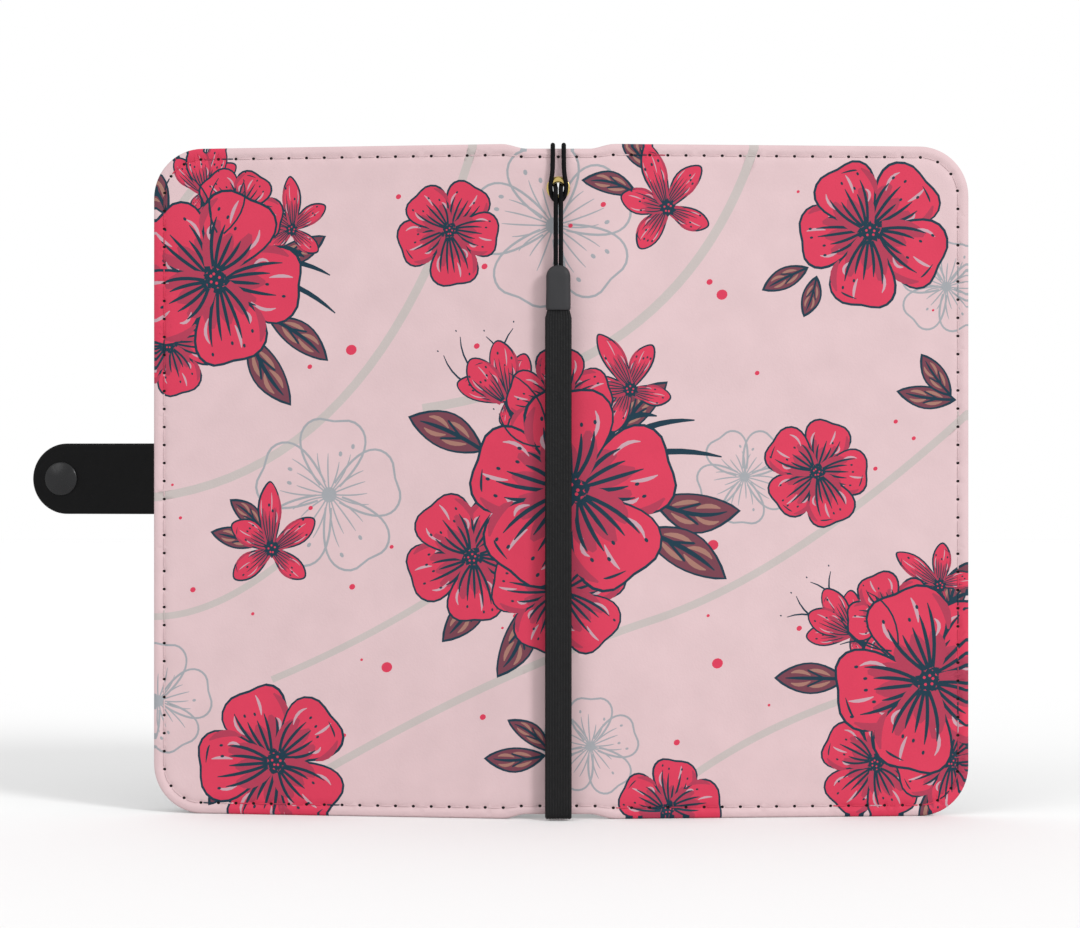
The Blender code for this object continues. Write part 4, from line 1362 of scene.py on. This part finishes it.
ROOT_FOLD = along_cover(Vector(joints["tab_root_fold"]["pos_m"]))
END_FOLD = along_cover(Vector(joints["tab_end_fold"]["pos_m"]))
CAP_AT = along_cover(box_middle("tab_cap"))
MAGNET_AT = along_cover(box_middle("tab_magnet"))
TAB_HALF = (tab_high.z - tab_low.z) / 2 / MM
TAB_Z = (tab_high.z + tab_low.z) / 2 / MM
FLAP_T = 1.9
TAB_T = 1.2
TAB_END = (back_line.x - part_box("tab_face")[0].x) / MM / cos(LEAN[BACK]) - FLAP_T / 2 * sin(LEAN[BACK])
ROUND_AT = TAB_END - TAB_HALF


def tab_thick(a, z, bulge):
    """Half the tab's thickness at a place on it. bulge is how far the magnet pushes this side out."""
    if a > ROUND_AT:
        edge = TAB_HALF - hypot(a - ROUND_AT, z)
    else:
        edge = TAB_HALF - abs(z)
    full = (TAB_T + (FLAP_T - TAB_T) * eased((a - END_FOLD - 0.5) / 3.0)) / 2
    round_in = 0.6
    if edge < round_in:
        full -= round_in - (round_in**2 - (round_in - max(0.0, edge)) ** 2) ** 0.5
    magnet = hypot(a - MAGNET_AT, z)
    return full + bulge / (1 + exp((magnet - 3.9) * 2.5)) - 0.05 * exp(-(((edge - 1.3) / 0.35) ** 2))


def tab_ring(a):
    """The tab's section at a, round it from the lower edge over the outer face and back inside."""
    half = TAB_HALF
    if a > ROUND_AT:
        half = max(0.05, TAB_HALF**2 - (a - ROUND_AT) ** 2) ** 0.5
    steps = 28
    heights = [half * sin(pi / 2 * (2 * step / steps - 1)) for step in range(steps + 1)]
    outer = [(z, -tab_thick(a, z, 0.16)) for z in heights]
    inner = [(z, tab_thick(a, z, 0.0)) for z in reversed(heights[1:-1])]
    x = -(HINGE_MM + a)
    return [place(x, TAB_Z + z, HINGE_DEEP_MM + deep) for z, deep in outer + inner]


def make_tab(name, stations, nodes):
    bm = bmesh.new()
    loft(bm, [tab_ring(a) for a in stations], capped=False)
    made = piece_from(bm, name, [tab_leather])
    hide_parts(*nodes)
    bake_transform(made)


def spaced(low, high, step):
    count = max(1, round((high - low) / step))
    return [low + (high - low) * at / count for at in range(count + 1)]


tab_leather = soft_black("black_tab_leather", "#0A0A0B", 0.55, 0.55, 0.022, ROUND_MAP, ROUND_UNIT, 0.10)
SPLIT_AT = (ROOT_FOLD + END_FOLD) / 2
tab_root_at = COVER_W / MM - 6.0
tip_turns = [ROUND_AT + TAB_HALF * sin(radians(turn)) for turn in range(3, 88, 3)]
strap_stations = spaced(tab_root_at, COVER_W / MM - 0.5, 1.0)
strap_stations += spaced(ROOT_FOLD - 1.0, SPLIT_AT, 0.3)[1:]
end_stations = spaced(SPLIT_AT, ROUND_AT, 0.35) + tip_turns + [TAB_END - 0.004]
make_tab("tab_strap", strap_stations, ("tab_root", "tab_bridge"))
make_tab("tab_end", end_stations, ("tab_face", "tab_backing"))
print("tab reaches", round(TAB_END, 1), "mm from the hinge line")

# %% [markdown]
# Round metal things are turned, as on a lathe: a profile of radii and heights is carried round an axis.
# The cap on the tab is a low dome with a rolled rim. The eyelet is a thin brass tube whose ends are
# curled over the leather, one end outside and the other on a washer inside.

# %% Turned fittings
def turned(bm, x, z, profile, sides=64):
    """Carries a profile of (radius, depth) pairs, in millimetres, round an axis through x, z."""
    rings = []
    for radius, deep in profile:
        turns = [tau * step / sides for step in range(sides)]
        rings.append([place(x + radius * cos(turn), z + radius * sin(turn), deep) for turn in turns])
    return loft(bm, rings, capped=False)


def close_end(bm, column):
    face = bm.faces.new(column)
    face.smooth = True


cap_x = -(HINGE_MM + CAP_AT)
CAP_R = 3.75
CAP_FACE = HINGE_DEEP_MM - FLAP_T / 2
DOME_R = CAP_R - 0.30
cap_profile = [
    (DOME_R, CAP_FACE + 0.3), (CAP_R - 0.05, CAP_FACE + 0.05), (CAP_R, CAP_FACE - 0.12),
    (CAP_R - 0.06, CAP_FACE - 0.28), (CAP_R - 0.22, CAP_FACE - 0.38),
]
for step in range(1, 15):
    reach = DOME_R * (1 - step / 15)
    rise = 0.40 + 0.72 * (1 - (reach / DOME_R) ** 2)
    cap_profile.append((reach, CAP_FACE - rise))
cap_profile.append((0.06, CAP_FACE - 1.12))
bm = bmesh.new()
columns = turned(bm, cap_x, TAB_Z, cap_profile)
close_end(bm, columns[-1])
cap_finish = soft_black("dark_cap", "#19191B", 0.27, 0.12, 0.003, ROUND_MAP, ROUND_UNIT, 0.30)
tab_cap = piece_from(bm, "domed_cap", [cap_finish])
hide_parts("tab_cap")
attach(tab_cap, "tab_flap")

brass = grained(
    "brass", "#E6CB7E", ROUND_MAP, ROUND_UNIT, rough=0.24, rough_swing=0.08, cell=0.25, cell_deep=0.004,
    pore=0.06, pore_deep=0.003, mottle=0.05, metal=1.0,
)
FLANGE_R = (eyelet_high.x - eyelet_low.x) / 2 / MM
BORE_R = 2 * CORD_R / MM + 0.3
eyelet_profile = [(FLANGE_R - 0.10, 0.08), (FLANGE_R, -0.04), (FLANGE_R - 0.06, -0.18)]
middle_r = (FLANGE_R - 0.12 + BORE_R) / 2
half_r = (FLANGE_R - 0.12 - BORE_R) / 2
for step in range(9):
    turn = pi * step / 8
    eyelet_profile.append((middle_r + half_r * cos(turn), -0.14 - 0.27 * sin(turn)))
barrel_end = CASE_T_MM + (eyelet_high.y - OUTER_Y - CASE_T) / MM
eyelet_profile += [
    (BORE_R, 0.3), (BORE_R, barrel_end - 0.3), (BORE_R + 0.05, barrel_end - 0.08),
    (BORE_R + 0.16, barrel_end), (BORE_R + 0.30, barrel_end - 0.02),
    (BORE_R + 0.38, barrel_end - 0.14),
]
bm = bmesh.new()
turned(bm, 0.0, EYELET_Z / MM, eyelet_profile)
eyelet = piece_from(bm, "brass_eyelet", [brass])
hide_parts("eyelet")
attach(eyelet, "spine")

washer_deep = (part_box("eyelet_washer")[1].y - OUTER_Y) / MM
washer_profile = [
    (FLANGE_R - 0.02, CASE_T_MM), (FLANGE_R, CASE_T_MM + 0.12), (FLANGE_R - 0.10, CASE_T_MM + 0.27),
    (FLANGE_R - 0.35, washer_deep), (BORE_R + 0.55, washer_deep + 0.02),
    (BORE_R + 0.36, washer_deep - 0.16), (BORE_R + 0.33, CASE_T_MM),
]
bm = bmesh.new()
turned(bm, 0.0, EYELET_Z / MM, washer_profile)
washer = piece_from(bm, "brass_washer", [brass])
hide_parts("eyelet_washer")
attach(washer, "spine")

# %% [markdown]
# Inside the front cover, a cash pocket covers the whole cover and card slots are stepped on it. Each is a
# thin panel of black leather. Its free upper edge is folded over a bead, and it is sewn down
# along the other sides. A panel is a sheet too, with its own edge line and its own level above the lining.

# %% Panels for the pockets
hinge_point = Vector((front_line.x, front_line.y, 0.0))
along_front = Vector((cos(LEAN[FRONT]), sin(LEAN[FRONT]), 0.0))


def panel_region(node):
    """A pocket's sides along the cover, and its foot and top, in millimetres on the flat sheet."""
    corners = [vertex.co - hinge_point for vertex in frame["nodes"][node].data.vertices]
    reach = [corner.dot(along_front) / MM for corner in corners]
    low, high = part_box(node)
    return HINGE_MM + min(reach), HINGE_MM + max(reach), low.z / MM, high.z / MM


def make_panel(name, node, corner, thick, level_low, level_high):
    """A sewn panel with rounded corners. Its level rises from its foot to its top."""
    x0, x1, z0, z1 = panel_region(node)
    middle_x, middle_z = (x0 + x1) / 2, (z0 + z1) / 2
    half_x, half_z = (x1 - x0) / 2, (z1 - z0) / 2

    def distance(x, z):
        away_x, away_z = half_x - abs(x - middle_x), half_z - abs(z - middle_z)
        if away_x < corner and away_z < corner:
            return corner - hypot(corner - away_x, corner - away_z)
        return min(away_x, away_z)

    def outline(inset, step):
        points = []
        corner_r = corner - inset
        for number, (sign_x, sign_z) in enumerate(((1, -1), (1, 1), (-1, 1), (-1, -1))):
            hub = (middle_x + sign_x * (half_x - corner), middle_z + sign_z * (half_z - corner))
            for at in range(7):
                turn = -pi / 2 + pi / 2 * number + pi / 2 * at / 6
                points.append((hub[0] + corner_r * cos(turn), hub[1] + corner_r * sin(turn)))
        full = []
        for a, b in zip(points, points[1:] + points[:1]):
            count = max(1, round(hypot(b[0] - a[0], b[1] - a[1]) / step))
            full += [
                (a[0] + (b[0] - a[0]) * at / count, a[1] + (b[1] - a[1]) * at / count)
                for at in range(count)
            ]
        return full

    def deep_at(x, z):
        top = z1 - z
        seam = min(x - x0, x1 - x, z - z0)
        out = thick + 0.20 * exp(-(((top - 0.9) / 0.5) ** 2)) - 0.12 * exp(-(((top - 2.0) / 0.35) ** 2))
        out -= 0.16 * exp(-(((seam - 1.6) / 0.38) ** 2)) * (1 if top > 2.2 else 0.3)
        out += 0.05 * noise.noise(Vector((x * 0.14, z * 0.14, 5.0)))
        out += 0.02 * noise.noise(Vector((x, z, 2.0)))
        return level_low + (level_high - level_low) * (z - z0) / (z1 - z0) + out

    inset = 0.30
    guides = []
    for inward in (0.6, 0.9, 1.2, 1.6, 2.0, 2.5, 3.2):
        guides += outline(inward, 1.2)
    grid = 2.4
    guides += [
        (x0 + 4 + grid * i, z0 + 4 + grid * j)
        for i in range(int((x1 - x0 - 7) / grid)) for j in range(int((z1 - z0 - 7) / grid))
    ]
    roll = [
        (0.10, level_low + thick * 0.85, 0.25), (0.0, level_low + thick * 0.5, 0.45),
        (0.0, level_low, 0.7),
    ]
    made = make_sheet(
        name, outline(inset, 1.0), distance, inset, [], ["leather"], guides, deep_at, roll, True,
        [pocket_leather],
    )
    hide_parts(node)
    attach(made, "front_cover")

    seam = [(x, z) for x, z in outline(1.6, 0.5) if z < z1 - 2.6]
    start = max(range(len(seam)), key=lambda at: line_length([seam[at - 1], seam[at]]))
    bm = bmesh.new()
    stops = walk(seam[start:] + seam[:start], 3.2)
    for a, b in zip(stops, stops[1:]):
        route = []
        for at in range(7):
            t = 0.07 + 0.86 * at / 6
            x, z = a[0] + (b[0] - a[0]) * t, a[1] + (b[1] - a[1]) * t
            route.append(place(x, z, deep_at(x, z) + (0.10 if 0 < at < 6 else -0.12)))
        loft(bm, tube_rings(route, 0.15 * MM, 6))
    stitches = piece_from(bm, f"{name}_stitches", [black_thread])
    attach(stitches, "front_cover")


pocket_leather = soft_black("black_pocket_leather", "#1A1A1C", 0.48, 0.70, 0.035)
PANEL_GAP = 0.12
cash_level = CASE_T_MM + PANEL_GAP
make_panel("cash_pocket_panel", "cash_pocket", 6.5, 0.42, cash_level, cash_level)
slot_level = cash_level + 0.47
for number in (3, 2, 1):
    make_panel(
        f"card_slot_panel_{number}", f"card_slot_{number}", 1.6, 0.36, slot_level, slot_level + 0.5,
    )

# %% [markdown]
# The phone snaps into a soft plastic shell with a thin lip. Its working solid is right in size but has hard
# edges, so a copy gets its edges rounded by a bevel. A real shell also has a fine parting line, which is
# left out, and a satin skin, which is the material's work.

# %% The phone shell
def satin(name, code, rough, cell, cell_deep, level=0.3, metal=0.0):
    """A moulded or plated finish for pieces without a flat map, laid out on the piece's own axes."""
    made, nodes, links, shader = fresh_material(name)
    spread = nodes.new("ShaderNodeTexCoord")
    fine = nodes.new("ShaderNodeTexNoise")
    fine.inputs["Scale"].default_value = 1 / (cell * MM)
    fine.inputs["Detail"].default_value = 4.0
    links.new(spread.outputs["Object"], fine.inputs["Vector"])
    bump = nodes.new("ShaderNodeBump")
    bump.inputs["Distance"].default_value = cell_deep * MM
    links.new(fine.outputs["Fac"], bump.inputs["Height"])
    links.new(bump.outputs["Normal"], shader.inputs["Normal"])
    gloss = nodes.new("ShaderNodeMapRange")
    gloss.inputs["To Min"].default_value = rough - 0.08
    gloss.inputs["To Max"].default_value = rough + 0.08
    links.new(fine.outputs["Fac"], gloss.inputs["Value"])
    links.new(gloss.outputs["Result"], shader.inputs["Roughness"])
    slow = nodes.new("ShaderNodeTexNoise")
    slow.inputs["Scale"].default_value = 1 / (6 * MM)
    links.new(spread.outputs["Object"], slow.inputs["Vector"])
    mottled(nodes, links, shader, code, 0.07, slow.outputs["Fac"])
    shader.inputs["Metallic"].default_value = metal
    shader.inputs["Specular IOR Level"].default_value = level
    return made


tray_finish = satin("satin_black_shell", "#1C1C1F", 0.62, 0.30, 0.010, 0.10)


def rounded_copy(node, name, width, finish, body):
    """A copy of a working solid with its edges rounded, to stand for it."""
    mesh = frame["nodes"][node].data.copy()
    mesh.materials.clear()
    mesh.materials.append(finish)
    made = bpy.data.objects.new(name, mesh)
    scene.collection.objects.link(made)
    bm = bmesh.new()
    bm.from_mesh(mesh)
    bmesh.ops.remove_doubles(bm, verts=bm.verts, dist=0.001 * MM)
    bmesh.ops.dissolve_limit(bm, angle_limit=radians(1.0), verts=bm.verts, edges=bm.edges)
    for face in bm.faces:
        face.smooth = True
        face.material_index = 0
    bm.to_mesh(mesh)
    bm.free()
    bevel = made.modifiers.new("rounded edges", "BEVEL")
    bevel.width = width * MM
    bevel.segments = 3
    bevel.limit_method = "ANGLE"
    bevel.angle_limit = radians(35)
    bevel.harden_normals = True
    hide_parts(node)
    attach(made, body)


rounded_copy("phone_tray", "phone_shell", 0.22, tray_finish, "phone_tray")

# %% [markdown]
# The rest is mostly hidden: boards, magnet, keeper and the slide plate behind the shell. Their solids are
# right as they are, so they only get finishes of their own.

# %% Finishes for the hidden parts
hidden = (
    (satin("grey_board", "#8F8A80", 0.85, 0.5, 0.05, 0.1), "back_board", "front_board", "spine_board"),
    (satin("plated_steel", "#B9BBC0", 0.30, 0.2, 0.004, 0.5, 1.0), "tab_magnet", "keeper_plate"),
    (satin("slide_plastic", "#202023", 0.45, 0.3, 0.008), "slide_plate"),
)
for finish, *nodes in hidden:
    for node in nodes:
        shape = frame["nodes"][node]
        for holder in shape.material_slots:
            holder.material = finish
        print(node, "gets", finish.name)
